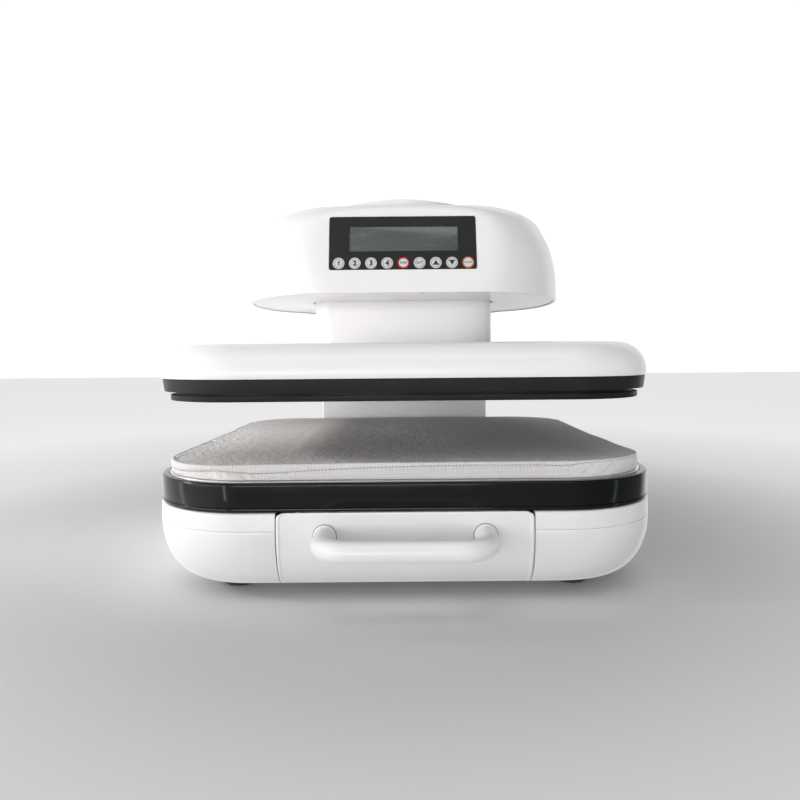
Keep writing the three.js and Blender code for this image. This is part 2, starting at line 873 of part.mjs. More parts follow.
function makePlaten() {
  const bodyTop = heatFlangeTopZ + heatBodyHeight;
  const probeZ = bandBottomZ + bandHeight / 2;
  const probeY = [
    plateWidth / 2 - heatBodyInset - probeLength,
    plateWidth / 2 - heatBodyInset + probeRadius,
  ];
  const rod = (radius, y) => {
    const g = new THREE.CylinderGeometry(radius, radius, y[1] - y[0], smallSides);
    g.translate(0, (y[0] + y[1]) / 2, probeZ);
    return solid(g);
  };
  const casting = pan(heatOutline, [
    [heatFlangeEdge, heatPlateZ],
    [0, heatPlateZ + heatFlangeEdge],
    [0, heatFlangeTopZ],
    [heatBodyInset, heatFlangeTopZ],
    [heatBodyInset, bodyTop],
  ]);
  const probeHole = rod(probeRadius + seatGap, [
    probeY[0] - seatGap, plateWidth / 2 + cutOverrun,
  ]);
  add("heat_plate", cut(casting, probeHole), coatedCasting);
  add("temperature_probe", rod(probeRadius, probeY), brightSteel);
  add(
    "platen_band",
    pan(platenOutline, [
      [bandInset + bandTaper, bandBottomZ],
      [bandInset, platenBottomZ - seatGap],
      [bandWall, platenBottomZ - seatGap],
      [bandWall, bandBottomZ],
    ], true),
    blackMatt,
  );
  const insulationZ = [bodyTop + seatGap, bodyTop + seatGap + insulationThickness];
  const insulationEdge = heatBodyInset + insulationInset;
  add(
    "insulation_board",
    roundPlate(
      {
        width: plateWidth - 2 * insulationEdge,
        depth: plateWidth - 2 * insulationEdge,
        corner: heatPlateCorner - insulationEdge,
      },
      insulationZ,
    ),
    insulation,
  );

  const cover = pan(platenOutline, [
    [platenCorner, platenTopZ],
    ...quarter(0, platenTopZ - platenEdge, platenEdge, platenTopZ, edgeSteps, false).reverse(),
    [0, platenBottomZ],
    [platenWall, platenBottomZ],
    ...quarter(
      platenWall, platenTopZ - platenEdge, platenEdge, platenTopZ - platenWall,
      edgeSteps, false,
    ),
    [platenCorner, platenTopZ - platenWall],
  ]);
  const neckInset = shroudWall + shroudWall;
  const neckHole = roundPlate(
    {
      width: shroudWidth - 2 * neckInset,
      depth: shroudDepth - 2 * neckInset,
      corner: shroudCorner - neckInset,
    },
    [platenTopZ - platenWall - cutOverrun, platenTopZ + cutOverrun],
  );
  add("platen_cover", cut(cover, neckHole), whiteShell);
  return insulationZ[1] + seatGap;
}

const screwBottomZ = platenTopZ + screwEndClearance;

function makeLift(yokeZ) {
  const shroud = cut(
    roundPlate(shroudOutline, [platenTopZ + seatGap, shroudTopZ]),
    roundPlate(
      {
        width: shroudWidth - 2 * shroudWall,
        depth: shroudDepth - 2 * shroudWall,
        corner: shroudCorner - shroudWall,
      },
      [platenTopZ - cutOverrun, shroudTopZ + cutOverrun],
    ),
  );
  add("lift_shroud", shroud, whiteShell);

  const halfX = yokePlateWidth / 2;
  const halfY = yokePlateDepth / 2;
  const cheekY = [-yokeCheekDepth / 2, yokeCheekDepth / 2];
  const cheekTop = yokeBridgeZ + yokeBridgeThickness;
  const cheekOut = yokeCheekX + yokeCheekThickness;
  const bar = block([-halfX, halfX], [-halfY, halfY], [yokeZ, yokeZ + yokePlateThickness]);
  const cheeks = [-1, 1].map((side) =>
    block(
      [side * yokeCheekX, side * cheekOut].sort((a, b) => a - b),
      cheekY,
      [yokeZ, cheekTop],
    ),
  );
  const bridge = block([-cheekOut, cheekOut], cheekY, [yokeBridgeZ, cheekTop]);
  const spacers = [-1, 1].flatMap((sx) =>
    [-1, 1].map((sy) =>
      post(
        bushRadius / 2,
        [yokeZ, yokePlateTopZ],
        sx * (halfX - bushRadius),
        sy * (halfY - bushRadius),
        smallSides,
      ),
    ),
  );
  const span = [yokeBridgeZ - cutOverrun, cheekTop + cutOverrun];
  const holes = [
    post(nutBodyRadius + seatGap, span),
    post(bushRadius + seatGap, span, guideRodX),
    post(bushRadius + seatGap, span, -guideRodX),
  ];
  add("lift_yoke", cut(join(bar, bridge, ...cheeks, ...spacers), ...holes), steel);

  const bushZ = [
    yokeBridgeZ - (bushLength - yokeBridgeThickness) / 2,
    cheekTop + (bushLength - yokeBridgeThickness) / 2,
  ];
  ["left", "right"].forEach((name, i) => {
    const x = i ? guideRodX : -guideRodX;
    add(
      `guide_bush_${name}`,
      cut(
        post(bushRadius, bushZ, x),
        post(guideRodRadius + runGap, [bushZ[0] - cutOverrun, bushZ[1] + cutOverrun], x),
      ),
      bronze,
    );
    add(
      `guide_rod_${name}`,
      post(guideRodRadius, [screwBottomZ, headPlateZ - seatGap], x),
      brightSteel,
    );
  });

  const nutTop = cheekTop + seatGap + nutFlangeHeight;
  const nutBottom = yokeBridgeZ - nutBodyRadius / 2;
  add(
    "screw_nut",
    turned([
      [screwRadius + runGap, nutBottom],
      [nutBodyRadius, nutBottom],
      [nutBodyRadius, cheekTop + seatGap],
      [nutFlangeRadius, cheekTop + seatGap],
      [nutFlangeRadius, nutTop],
      [screwRadius + runGap, nutTop],
      [screwRadius + runGap, nutBottom],
    ]),
    bronze,
  );
}

// A spur gear's outline with straight flanks, its first tooth at an angle
function gearOutline(teeth, firstAngle, x = 0, y = 0) {
  const pitch = (gearModule * teeth) / 2;
  const halfTooth = Math.PI / (2 * teeth) - gearBacklashAngle * (screwGearTeeth / teeth);
  const slope = Math.tan(THREE.MathUtils.degToRad(pressureAngle));
  const tipHalf = halfTooth - (slope * gearModule) / pitch;
  const rootDepth = gearRootShare * gearModule;
  const rootHalf = halfTooth + (slope * rootDepth) / pitch;
  return Array.from({ length: teeth }, (unused, i) => {
    const middle = firstAngle + (2 * Math.PI * i) / teeth;
    return [
      [pitch - rootDepth, -rootHalf],
      [pitch + gearModule, -tipHalf],
      [pitch + gearModule, tipHalf],
      [pitch - rootDepth, rootHalf],
    ].map(([r, a]) => [x + r * Math.cos(middle + a), y + r * Math.sin(middle + a)]);
  }).flat();
}

function makeDrive() {
  const gearTop = gearZ + gearThickness;
  const screw = turned([
    [0, screwBottomZ],
    [screwRadius - seatGap, screwBottomZ],
    [screwRadius, screwBottomZ + seatGap],
    [screwRadius, headPlateZ - seatGap],
    [journalRadius, headPlateZ - seatGap],
    [journalRadius, gearTop + cutOverrun],
    [0, gearTop + cutOverrun],
  ]);
  add("lead_screw", screw, brightSteel);

  const wheelTooth = Math.PI / 2 + Math.PI / screwGearTeeth;
  const wheelZ = [gearZ, gearTop];
  const past = [gearZ - cutOverrun, gearTop + cutOverrun];
  const windows = Array.from({ length: gearWindows }, (unused, i) => {
    const angle = (2 * Math.PI * i) / gearWindows;
    const reach = (gearWindowShare * gearModule * screwGearTeeth) / 2;
    return post(
      bushRadius, past, reach * Math.cos(angle), reach * Math.sin(angle), smallSides,
    );
  });
  add(
    "screw_gear",
    cut(
      plate(gearOutline(screwGearTeeth, wheelTooth), wheelZ),
      post(journalRadius + seatGap, past),
      ...windows,
    ),
    steel,
  );

  const motorY = gearCentreDistance;
  const motorTop = headPlateZ - seatGap;
  const shaft = post(
    motorShaftRadius, [motorTop + seatGap, gearTop], 0, motorY, smallSides,
  );
  add(
    "motor_pinion",
    join(plate(gearOutline(pinionTeeth, -Math.PI / 2, 0, motorY), wheelZ), shaft),
    steel,
  );
  const motorBottom = motorTop - motorHeight;
  const motor = turned([
    [0, motorBottom],
    [motorRadius / 2, motorBottom],
    [motorRadius / 2, motorBottom + motorShaftRadius],
    [motorRadius - seatGap, motorBottom + motorShaftRadius],
    [motorRadius, motorBottom + 2 * motorShaftRadius],
    [motorRadius, motorTop],
    [0, motorTop],
  ], 0, motorY);
  add("drive_motor", motor, blackMatt);

  const race = [headPlateZ, headPlateZ + bearingHeight];
  add(
    "screw_bearing",
    cut(
      post(bearingRadius, race),
      post(journalRadius + runGap, [race[0] - cutOverrun, race[1] + cutOverrun]),
    ),
    brightSteel,
  );
}

function makeFrame() {
  const rearY = baseRearY - headWall - frameRearGap;
  const frontY = baseFrontY + frameFrontInset;
  const uprightY = rearY - frameUprightDepth;
  const baseTop = channelFloorZ + frameBaseHeight;
  const armZ = headPlateTopZ - frameArmDrop;
  const chamfer = frameBaseHeight / 2;
  const bowlRear = quarter(
    bowlInset + baseWall, channelFloorZ, baseWall, seamZ, edgeSteps, true,
  ).map(([inset, z]) => [baseRearY - inset - seatGap, z]);
  const outline = [
    [frontY, channelFloorZ],
    ...bowlRear,
    [rearY, headPlateTopZ - chamfer],
    [rearY - chamfer, headPlateTopZ],
    [frameArmFrontY, headPlateTopZ],
    [frameArmFrontY, armZ],
    [uprightY - chamfer, armZ],
    [uprightY, armZ - chamfer],
    [uprightY, baseTop + chamfer],
    [uprightY - chamfer, baseTop],
    [frontY, baseTop],
  ];
  add("frame_side_left", beamX(outline, [-frameOuterX, -frameInnerX]), steel);
  add("frame_side_right", beamX(outline, [frameInnerX, frameOuterX]), steel);

  const within = frameInnerX - seatGap;
  const hole = [headPlateZ - cutOverrun, headPlateTopZ + cutOverrun];
  add(
    "head_plate",
    cut(
      block(
        [-within, within],
        [frameArmFrontY, gearCentreDistance + 2 * motorRadius],
        [headPlateZ, headPlateTopZ],
      ),
      post(bearingRadius + seatGap, hole),
      post(motorShaftRadius + runGap, hole, 0, gearCentreDistance, smallSides),
    ),
    steel,
  );
  const braceY = uprightY + braceThickness;
  const braceBottom = deckZ - baseWall;
  add(
    "column_brace",
    block(
      [-within, within],
      [braceY, braceY + braceThickness],
      [braceBottom, braceBottom + braceHeight],
    ),
    steel,
  );
  const supplyY = braceY + braceThickness + seatGap;
  const supplyZ = deckZ + supplyRise;
  add(
    "power_supply",
    block(
      [-supplyWidth / 2, supplyWidth / 2],
      [supplyY, supplyY + supplyDepth],
      [supplyZ, supplyZ + supplyHeight],
    ),
    brightSteel,
  );
}

const headFaceTopZ = headBottomZ + headFaceHeight;
const headFaceTopY = headFaceFrontY + headFaceHeight * Math.tan(lean);
const headFlatZ = headBottomZ + headHeight * headTopShare;

// The head's outer form, or its inner one when it is drawn in by a wall: a dome that is
// squarer behind than in front, a neck back to the column, a leaning flat face, a top
// that slopes up from the face, and a round cap over the screw
function headForm(inset, bottomZ) {
  const top = headHeight - inset;
  const rings = Array.from({ length: headLevels + 1 }, (unused, i) => {
    const share = headTopShare * (1 - (1 - i / headLevels) ** 2);
    const fall = 1 - share ** headRiseShare;
    const side = (headHalfWidth - inset) * fall ** headSideShare;
    const front = (headFrontReach - inset) * fall ** headFrontShare;
    const rear = (headRearReach - inset) * fall ** headSideShare;
    const z = i ? headBottomZ + share * top : bottomZ;
    return Array.from({ length: headSides }, (unused2, k) => {
      const angle = (2 * Math.PI * k) / headSides;
      const c = Math.cos(angle);
      const s = Math.sin(angle);
      const power = 2 / (s < 0 ? headFrontPowerShare : headRearPowerShare);
      const reach = s < 0 ? front : rear;
      return [
        side * Math.sign(c) * Math.abs(c) ** power,
        headCentreY + reach * Math.sign(s) * Math.abs(s) ** power,
        z,
      ];
    });
  });
  const neckOutline = {
    width: neckWidth,
    depth: baseRearY,
    corner: neckCorner,
    y: baseRearY / 2,
  };
  const neckTop = headBottomZ + neckHeight - inset;
  const neck = pan(neckOutline, [
    [inset, bottomZ],
    ...quarter(
      inset, neckTop - neckEdge, inset + neckEdge, neckTop, smallEdgeSteps, false,
    ),
  ]);
  const far = headHalfWidth * 2;
  const tan = Math.tan(lean);
  const faceShift = inset / Math.cos(lean);
  const faceAt = (z) => headFaceFrontY + faceShift + (z - headBottomZ) * tan;
  const low = bottomZ - cutOverrun;
  const high = headTopZ + capHeight + cutOverrun;
  const beyondFace = beamX([
    [faceAt(low), low],
    [faceAt(high), high],
    [faceAt(low) - far, high],
    [faceAt(low) - far, low],
  ], [-far, far]);
  const rise = Math.tan(THREE.MathUtils.degToRad(headTopSlope));
  const slopeZ = (y) => headFaceTopZ - inset + (y - headFaceTopY) * rise;
  const nearY = headFaceFrontY - cutOverrun;
  const farY = headCentreY + headRearReach;
  const aboveSlope = beamX([
    [nearY, slopeZ(nearY)],
    [farY, slopeZ(farY)],
    [farY, high + far],
    [nearY, high + far],
  ], [-far, far]);
  const capTop = headFlatZ + capHeight - inset;
  const capBase = headFlatZ - cutOverrun - inset;
  const cap = turned([
    [0, capBase],
    ...Array.from({ length: edgeSteps + 1 }, (unused, i) => {
      const share = 1 - i / edgeSteps;
      return [
        (capRadius - inset) * share,
        capTop - (capTop - capBase) * share ** 2,
      ];
    }),
  ], 0, 0, roundSides * 2);
  return join(cut(join(skin(rings), neck), beyondFace, aboveSlope), cap);
}

// The leaning face as its own frame: x across, y up along the face, z out of it
const face = new THREE.Group();
face.position.set(0, headFaceFrontY, headBottomZ);
face.rotation.x = Math.PI / 2 - lean;
face.updateMatrix();

function onFace(points, z) {
  const g = new THREE.ExtrudeGeometry(shapeOf(points), {
    depth: z[1] - z[0],
    bevelEnabled: false,
  });
  g.translate(0, 0, z[0]);
  g.applyMatrix4(face.matrix);
  return solid(g);
}

function rectangle(x, y) {
  return [[x[0], y[0]], [x[1], y[0]], [x[1], y[1]], [x[0], y[1]]];
}

const panelBottom = panelBottomRise;
const panelTop = panelBottom + panelHeight;
const panelBack = panelProud - panelThickness;

function makeHead() {
  const half = panelWidth / 2;
  const recess = onFace(
    rectangle(
      [-half - seatGap, half + seatGap],
      [panelBottom - seatGap, panelTop + seatGap],
    ),
    [panelBack - seatGap, cutOverrun],
  );
  const hole = onFace(
    rectangle(
      [-half + panelFrame, half - panelFrame],
      [panelBottom + seatGap, panelTop - panelFrame],
    ),
    [-headWall - cutOverrun, cutOverrun],
  );
  const outer = headForm(0, headBottomZ);
  const inner = headForm(headWall, headBottomZ - cutOverrun);
  add("head_cover", cut(outer, inner, recess, hole), whiteShell);

  const floorZ = headBottomZ + headFloorRecess;
  const slab = block(
    [-headHalfWidth, headHalfWidth],
    [headFaceFrontY, baseRearY],
    [floorZ, floorZ + headFloorThickness],
  );
  const past = [floorZ - cutOverrun, floorZ + headFloorThickness + cutOverrun];
  const slot = roundPlate(
    {
      width: shroudWidth + 2 * headSlotGap,
      depth: shroudDepth + 2 * headSlotGap,
      corner: shroudCorner + headSlotGap,
    },
    past,
  );
  const rearY = baseRearY - headWall;
  const columnHole = block(
    [-frameOuterX - seatGap, frameOuterX + seatGap],
    [rearY - frameRearGap - frameUprightDepth - frameBaseHeight / 2, rearY + cutOverrun],
    past,
  );
  const floor = headForm(headWall + seatGap, headBottomZ - cutOverrun).intersect(slab);
  add("head_floor", cut(floor, slot, columnHole), whiteShell);
}

function makeControls() {
  const half = panelWidth / 2;
  const keyY = panelBottom + keyBottomMargin;
  const keys = ["1", "2", "3", "4", "stop", "set", "up", "down", "enter"];
  const keyX = (i) => (i - (keys.length - 1) / 2) * keyPitch;
  const windowTop = panelTop - windowTopMargin;
  const windowX = [windowShift - windowWidth / 2, windowShift + windowWidth / 2];
  const past = [panelBack - cutOverrun, panelProud + cutOverrun];
  const bezel = plate(
    roundRect({
      width: panelWidth,
      depth: panelHeight,
      corner: panelCorner,
      y: (panelBottom + panelTop) / 2,
    }),
    [panelBack, panelProud],
  );
  const holes = keys.map((name, i) =>
    post(keyRadius + keyClearance, past, keyX(i), keyY, smallSides),
  );
  add(
    "control_panel",
    cut(bezel, plate(rectangle(windowX, [windowTop - windowHeight, windowTop]), past), ...holes),
    blackGloss,
    face,
  );
  const screenFront = panelProud - screenRecess;
  add(
    "lcd_screen",
    plate(
      rectangle(
        [windowX[0] + seatGap, windowX[1] - seatGap],
        [windowTop - windowHeight + seatGap, windowTop - seatGap],
      ),
      [screenFront - screenThickness, screenFront],
    ),
    screenGlass,
    face,
  );
  const boardFront = screenFront - screenThickness - seatGap;
  add(
    "control_board",
    plate(
      rectangle(
        [-half + boardMargin, half - boardMargin],
        [panelBottom + boardRise, panelTop - boardMargin],
      ),
      [boardFront - boardThickness, boardFront],
    ),
    boardGreen,
    face,
  );
  const flangeTop = panelBack - seatGap;
  const flangeBottom = flangeTop - keyFlangeHeight;
  const keyTop = panelProud + keyProud;
  keys.forEach((name, i) => {
    const key = turned([
      [0, boardFront + keyTravel + seatGap],
      [keyRadius / 2, boardFront + keyTravel + seatGap],
      [keyRadius / 2, flangeBottom],
      [keyRadius + keyFlange, flangeBottom],
      [keyRadius + keyFlange, flangeTop],
      [keyRadius, flangeTop],
      [keyRadius, keyTop - keyEdge],
      [keyRadius - keyEdge, keyTop],
      [0, keyTop],
    ], keyX(i), keyY, smallSides);
    add(`button_${name}`, key, keyWhite, face);
  });
  press.add(face);
}

function makeColumn() {
  const top = headBottomZ - seatGap;
  const outside = roundPlate(columnOutline, [deckZ + seatGap, top]);
  const inside = block(
    [-columnWidth / 2 + columnWall, columnWidth / 2 - columnWall],
    [columnFrontY + columnWall, baseRearY - columnWall],
    [deckZ - cutOverrun, top + cutOverrun],
  );
  const inletZ = deckZ + inletRise;
  const bodyHalfX = inletWidth / 2 - inletFlange;
  const bodyHalfZ = inletHeight / 2 - inletFlange;
  const cutout = block(
    [inletX - bodyHalfX - seatGap, inletX + bodyHalfX + seatGap],
    [baseRearY - columnWall - cutOverrun, baseRearY + cutOverrun],
    [inletZ - bodyHalfZ - seatGap, inletZ + bodyHalfZ + seatGap],
  );
  add("column_cover", cut(outside, inside, cutout), whitePaint);

  const flangeY = [baseRearY + seatGap, baseRearY + seatGap + inletFlange];
  const flange = block(
    [inletX - inletWidth / 2, inletX + inletWidth / 2],
    flangeY,
    [inletZ - inletHeight / 2, inletZ + inletHeight / 2],
  );
  const body = block(
    [inletX - bodyHalfX, inletX + bodyHalfX],
    [baseRearY - inletDepth, flangeY[1]],
    [inletZ - bodyHalfZ, inletZ + bodyHalfZ],
  );
  const socketZ = inletZ - socketDrop;
  const halfW = socketWidth / 2;
  const halfH = socketHeight / 2;
  const socket = beamY([
    [inletX - halfW, socketZ - halfH],
    [inletX + halfW, socketZ - halfH],
    [inletX + halfW, socketZ + halfH - socketBevel],
    [inletX + halfW - socketBevel, socketZ + halfH],
    [inletX - halfW + socketBevel, socketZ + halfH],
    [inletX - halfW, socketZ + halfH - socketBevel],
  ], [flangeY[1] - socketDepth, flangeY[1] + cutOverrun]);
  const blade = (x, z) =>
    block(
      [inletX + x - bladeThickness / 2, inletX + x + bladeThickness / 2],
      [flangeY[1] - socketDepth - cutOverrun, flangeY[1] - inletFlange],
      [socketZ + z - bladeHeight / 2, socketZ + z + bladeHeight / 2],
    );
  const blades = [
    blade(-bladePitch, -bladeShift),
    blade(bladePitch, -bladeShift),
    blade(0, bladeShift),
  ];
  const rockerZ = inletZ + rockerRise;
  const well = block(
    [inletX - rockerWidth / 2 - rockerGap, inletX + rockerWidth / 2 + rockerGap],
    [flangeY[1] - rockerDepth - rockerGap, flangeY[1] + cutOverrun],
    [rockerZ - rockerHeight / 2 - rockerGap, rockerZ + rockerHeight / 2 + rockerGap],
  );
  add(
    "power_inlet",
    join(cut(join(flange, body), socket, well), ...blades),
    blackMatt,
  );

  const pivotY = flangeY[1] - rockerPivotDepth;
  const tilt = THREE.MathUtils.degToRad(rockerTilt);
  const tip = (rockerHeight / 2) * Math.cos(tilt) - rockerGap;
  const rise = rockerPivotDepth - rockerGap;
  const turn = ([y, z]) => [
    pivotY + y * Math.cos(tilt) - z * Math.sin(tilt),
    rockerZ + y * Math.sin(tilt) + z * Math.cos(tilt),
  ];
  const waist = tip * rockerWaistShare;
  const rocker = beamX(
    [
      [rise + tip * Math.sin(tilt), tip],
      [-rise / 2, tip - rockerGap],
      [-rise, waist],
      [-rise, -waist],
      [-rise / 2, -tip + rockerGap],
      [rise + tip * Math.sin(tilt), -tip],
      [rise, 0],
    ].reverse().map(turn),
    [inletX - rockerWidth / 2, inletX + rockerWidth / 2],
  );
  add("power_rocker", rocker, blackGloss);
}

makeBase();
makeSlides();
makeTray();
makeDrawerFront();
makePad();
makeLift(makePlaten());
makeDrive();
makeFrame();
makeHead();
makeControls();
makeColumn();

// The origin is under the middle of the footprint, from the handle to the power entry
const frontmostY = baseFrontY - handleReach - handleTubeRadius;
const rearmostY = baseRearY + seatGap + inletFlange;
press.position.y = -(frontmostY + rearmostY) / 2;

const model = new THREE.Group();
model.add(press);
export default model;
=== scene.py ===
"""Visual model of the automatic heat press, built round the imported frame.

Lengths are millimetres in the row frame until mesh_object() turns them into metres."""

import json
import math

import bmesh
import bpy
import numpy as np
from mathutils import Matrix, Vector


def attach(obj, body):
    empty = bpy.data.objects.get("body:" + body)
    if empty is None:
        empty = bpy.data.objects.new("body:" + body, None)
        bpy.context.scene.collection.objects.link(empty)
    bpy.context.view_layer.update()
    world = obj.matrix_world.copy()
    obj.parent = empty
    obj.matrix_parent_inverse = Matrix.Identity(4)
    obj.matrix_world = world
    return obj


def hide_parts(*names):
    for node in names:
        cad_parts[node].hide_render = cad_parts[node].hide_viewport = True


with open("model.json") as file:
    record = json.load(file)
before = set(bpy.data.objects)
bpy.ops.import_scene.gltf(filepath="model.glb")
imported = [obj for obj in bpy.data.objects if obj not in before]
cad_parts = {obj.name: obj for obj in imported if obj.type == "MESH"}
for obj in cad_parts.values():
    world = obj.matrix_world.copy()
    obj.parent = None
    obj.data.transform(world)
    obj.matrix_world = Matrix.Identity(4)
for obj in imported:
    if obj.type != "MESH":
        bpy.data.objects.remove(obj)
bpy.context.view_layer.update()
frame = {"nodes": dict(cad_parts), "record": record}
nodes = frame["nodes"]

MM = 0.001
PRESS_Y = -29.55  # the press axis in the row frame
TAU = 2 * math.pi

# ---- Materials


def new_material(name):
    mat = bpy.data.materials.new(name)
    mat.use_nodes = True
    return mat, mat.node_tree.nodes, mat.node_tree.links


def mapped(tree, links, stretch=(1, 1, 1), turn=(0, 0, 0)):
    coords = tree.new("ShaderNodeTexCoord")
    mapping = tree.new("ShaderNodeMapping")
    mapping.inputs["Scale"].default_value = stretch
    mapping.inputs["Rotation"].default_value = turn
    links.new(coords.outputs["Object"], mapping.inputs["Vector"])
    return mapping.outputs["Vector"]


def noise(tree, links, vector, scale, detail=4.0, rough=0.5):
    node = tree.new("ShaderNodeTexNoise")
    node.inputs["Scale"].default_value = scale
    node.inputs["Detail"].default_value = detail
    node.inputs["Roughness"].default_value = rough
    links.new(vector, node.inputs["Vector"])
    return node.outputs["Fac"]


def spread(tree, links, value, low, high, start=0.3, end=0.7):
    node = tree.new("ShaderNodeMapRange")
    node.inputs["From Min"].default_value = start
    node.inputs["From Max"].default_value = end
    node.inputs["To Min"].default_value = low
    node.inputs["To Max"].default_value = high
    links.new(value, node.inputs["Value"])
    return node.outputs["Result"]


def tint(tree, links, factor, first, second, blend="MIX"):
    """Two colours blended by a factor, each of them plain or from a socket."""
    node = tree.new("ShaderNodeMix")
    node.data_type = "RGBA"
    node.blend_type = blend
    for key, color in (("A", first), ("B", second)):
        if isinstance(color, tuple):
            node.inputs[key].default_value = (*color, 1)
        else:
            links.new(color, node.inputs[key])
    links.new(factor, node.inputs["Factor"])
    return node.outputs["Result"]


def calculate(tree, links, operation, *terms):
    """The result of one math step on sockets and plain numbers."""
    node = tree.new("ShaderNodeMath")
    node.operation = operation
    for socket, term in zip(node.inputs, terms):
        if isinstance(term, (int, float)):
            socket.default_value = term
        else:
            links.new(term, socket)
    return node.outputs["Value"]


def bump(tree, links, height, distance, strength=1.0, below=None):
    node = tree.new("ShaderNodeBump")
    node.inputs["Strength"].default_value = strength
    node.inputs["Distance"].default_value = distance * MM
    links.new(height, node.inputs["Height"])
    if below is not None:
        links.new(below, node.inputs["Normal"])
    return node.outputs["Normal"]


DUST = (0.5, 0.5, 0.5)


def surface(
    name,
    color,
    rough,
    metal=0.0,
    coat=0.0,
    coat_rough=0.1,
    specular=0.5,
    grain=(900, 0.02),
    ripple=(60, 0.02),
    mottle=0.04,
    rough_span=0.06,
    stretch=(1, 1, 1),
    dust=0.0,
):
    """A procedural finish: fine grain, long ripple, uneven colour and gloss, worn edges."""
    mat, tree, links = new_material(name)
    shader = tree["Principled BSDF"]
    vector = mapped(tree, links, stretch)
    patches = noise(tree, links, vector, 14, 5, 0.6)
    fine = noise(tree, links, vector, grain[0], 3, 0.6)
    long_wave = noise(tree, links, vector, ripple[0], 2, 0.4)
    dark = tuple(c * (1 - mottle) for c in color)
    light = tuple(min(1.0, c * (1 + mottle)) for c in color)
    tone = tint(tree, links, spread(tree, links, patches, 0, 1), dark, light)
    geometry = tree.new("ShaderNodeNewGeometry")
    edges = spread(tree, links, geometry.outputs["Pointiness"], 0, 0.5, 0.52, 0.6)
    worn = tuple(min(1.0, c * 1.06 + 0.01) for c in color)
    tone = tint(tree, links, edges, tone, worn)
    if dust:
        specks = spread(tree, links, noise(tree, links, vector, 420, 6, 0.7), 0, dust, 0.62, 0.75)
        tone = tint(tree, links, specks, tone, DUST)
    links.new(tone, shader.inputs["Base Color"])
    smears = noise(tree, links, vector, 33, 6, 0.65)
    dullest = min(1, rough + rough_span)
    gloss = spread(tree, links, smears, max(0.02, rough - rough_span), dullest)
    links.new(gloss, shader.inputs["Roughness"])
    below = bump(tree, links, long_wave, ripple[1])
    links.new(bump(tree, links, fine, grain[1], 1, below), shader.inputs["Normal"])
    for key, value in (("Metallic", metal), ("Coat Weight", coat), ("Coat Roughness", coat_rough),
                       ("IOR", 1.5), ("Specular IOR Level", specular)):
        shader.inputs[key].default_value = value
    return mat


def inner_share(tree, links, vector, reach, border):
    """From 0 at a square's border to 1 inside it, for a square about the press axis."""
    parts = tree.new("ShaderNodeSeparateXYZ")
    links.new(vector, parts.inputs["Vector"])
    sides = []
    for axis, middle in (("X", 0.0), ("Y", PRESS_Y * MM)):
        shifted = calculate(tree, links, "SUBTRACT", parts.outputs[axis], middle)
        sides.append(calculate(tree, links, "ABSOLUTE", shifted))
    far = calculate(tree, links, "MAXIMUM", *sides)
    return spread(tree, links, far, 1, 0, (reach - border) * MM, reach * MM)


PAD_REACH = 186  # half the pad's width, as its fabric's looks have it


def fabric(name, color, pitch, sheen=0.25, middle_tint=(1, 1, 1), puckers=0.4):
    """A plain weave: two crossed thread waves, slubs, uneven dye, and a darker, browner middle."""
    mat, tree, links = new_material(name)
    shader = tree["Principled BSDF"]
    vector = mapped(tree, links)
    heights = []
    for direction in ("X", "Y"):
        wave = tree.new("ShaderNodeTexWave")
        wave.wave_type = "BANDS"
        wave.bands_direction = direction
        wave.inputs["Scale"].default_value = 1 / (pitch * MM) / TAU * 0.5
        wave.inputs["Distortion"].default_value = 1.6
        wave.inputs["Detail"].default_value = 2
        wave.inputs["Detail Scale"].default_value = 2.5
        links.new(vector, wave.inputs["Vector"])
        heights.append(wave.outputs["Fac"])
    cross = calculate(tree, links, "MULTIPLY", *heights)
    slub = noise(tree, links, vector, 700, 5, 0.7)
    crease = noise(tree, links, vector, 190, 6, 0.6)
    patches = noise(tree, links, vector, 9, 4, 0.6)
    dark = tuple(c * 0.86 for c in color)
    light = tuple(min(1.0, c * 1.07) for c in color)
    blend = calculate(tree, links, "MULTIPLY_ADD", cross, 0.45, spread(tree, links, slub, 0, 0.55))
    tone = tint(tree, links, blend, dark, light)
    uneven = spread(tree, links, patches, 0, 1)
    tone = tint(tree, links, uneven, tone, (0.975, 0.96, 0.95), "MULTIPLY")
    # The middle is darker and browner than the edge.
    middle = inner_share(tree, links, vector, PAD_REACH, 52)
    tone = tint(tree, links, middle, tone, middle_tint, "MULTIPLY")
    links.new(tone, shader.inputs["Base Color"])
    links.new(spread(tree, links, slub, 0.78, 0.95), shader.inputs["Roughness"])
    edge = inner_share(tree, links, vector, PAD_REACH, 60)
    slanted = mapped(tree, links, (1, 0.8, 1), (0, 0, 0.6))
    pucker = calculate(tree, links, "MULTIPLY", noise(tree, links, slanted, 230, 3, 0.55),
                       spread(tree, links, edge, 1, 0.3, 0, 1))
    below = None
    for height, distance, strength in ((pucker, puckers, 1), (crease, 0.5, 0.6),
                                       (slub, 0.16, 0.8), (cross, 0.14, 0.8)):
        below = bump(tree, links, height, distance, strength, below)
    links.new(below, shader.inputs["Normal"])
    shader.inputs["Sheen Weight"].default_value = sheen
    shader.inputs["Sheen Roughness"].default_value = 0.5
    return mat


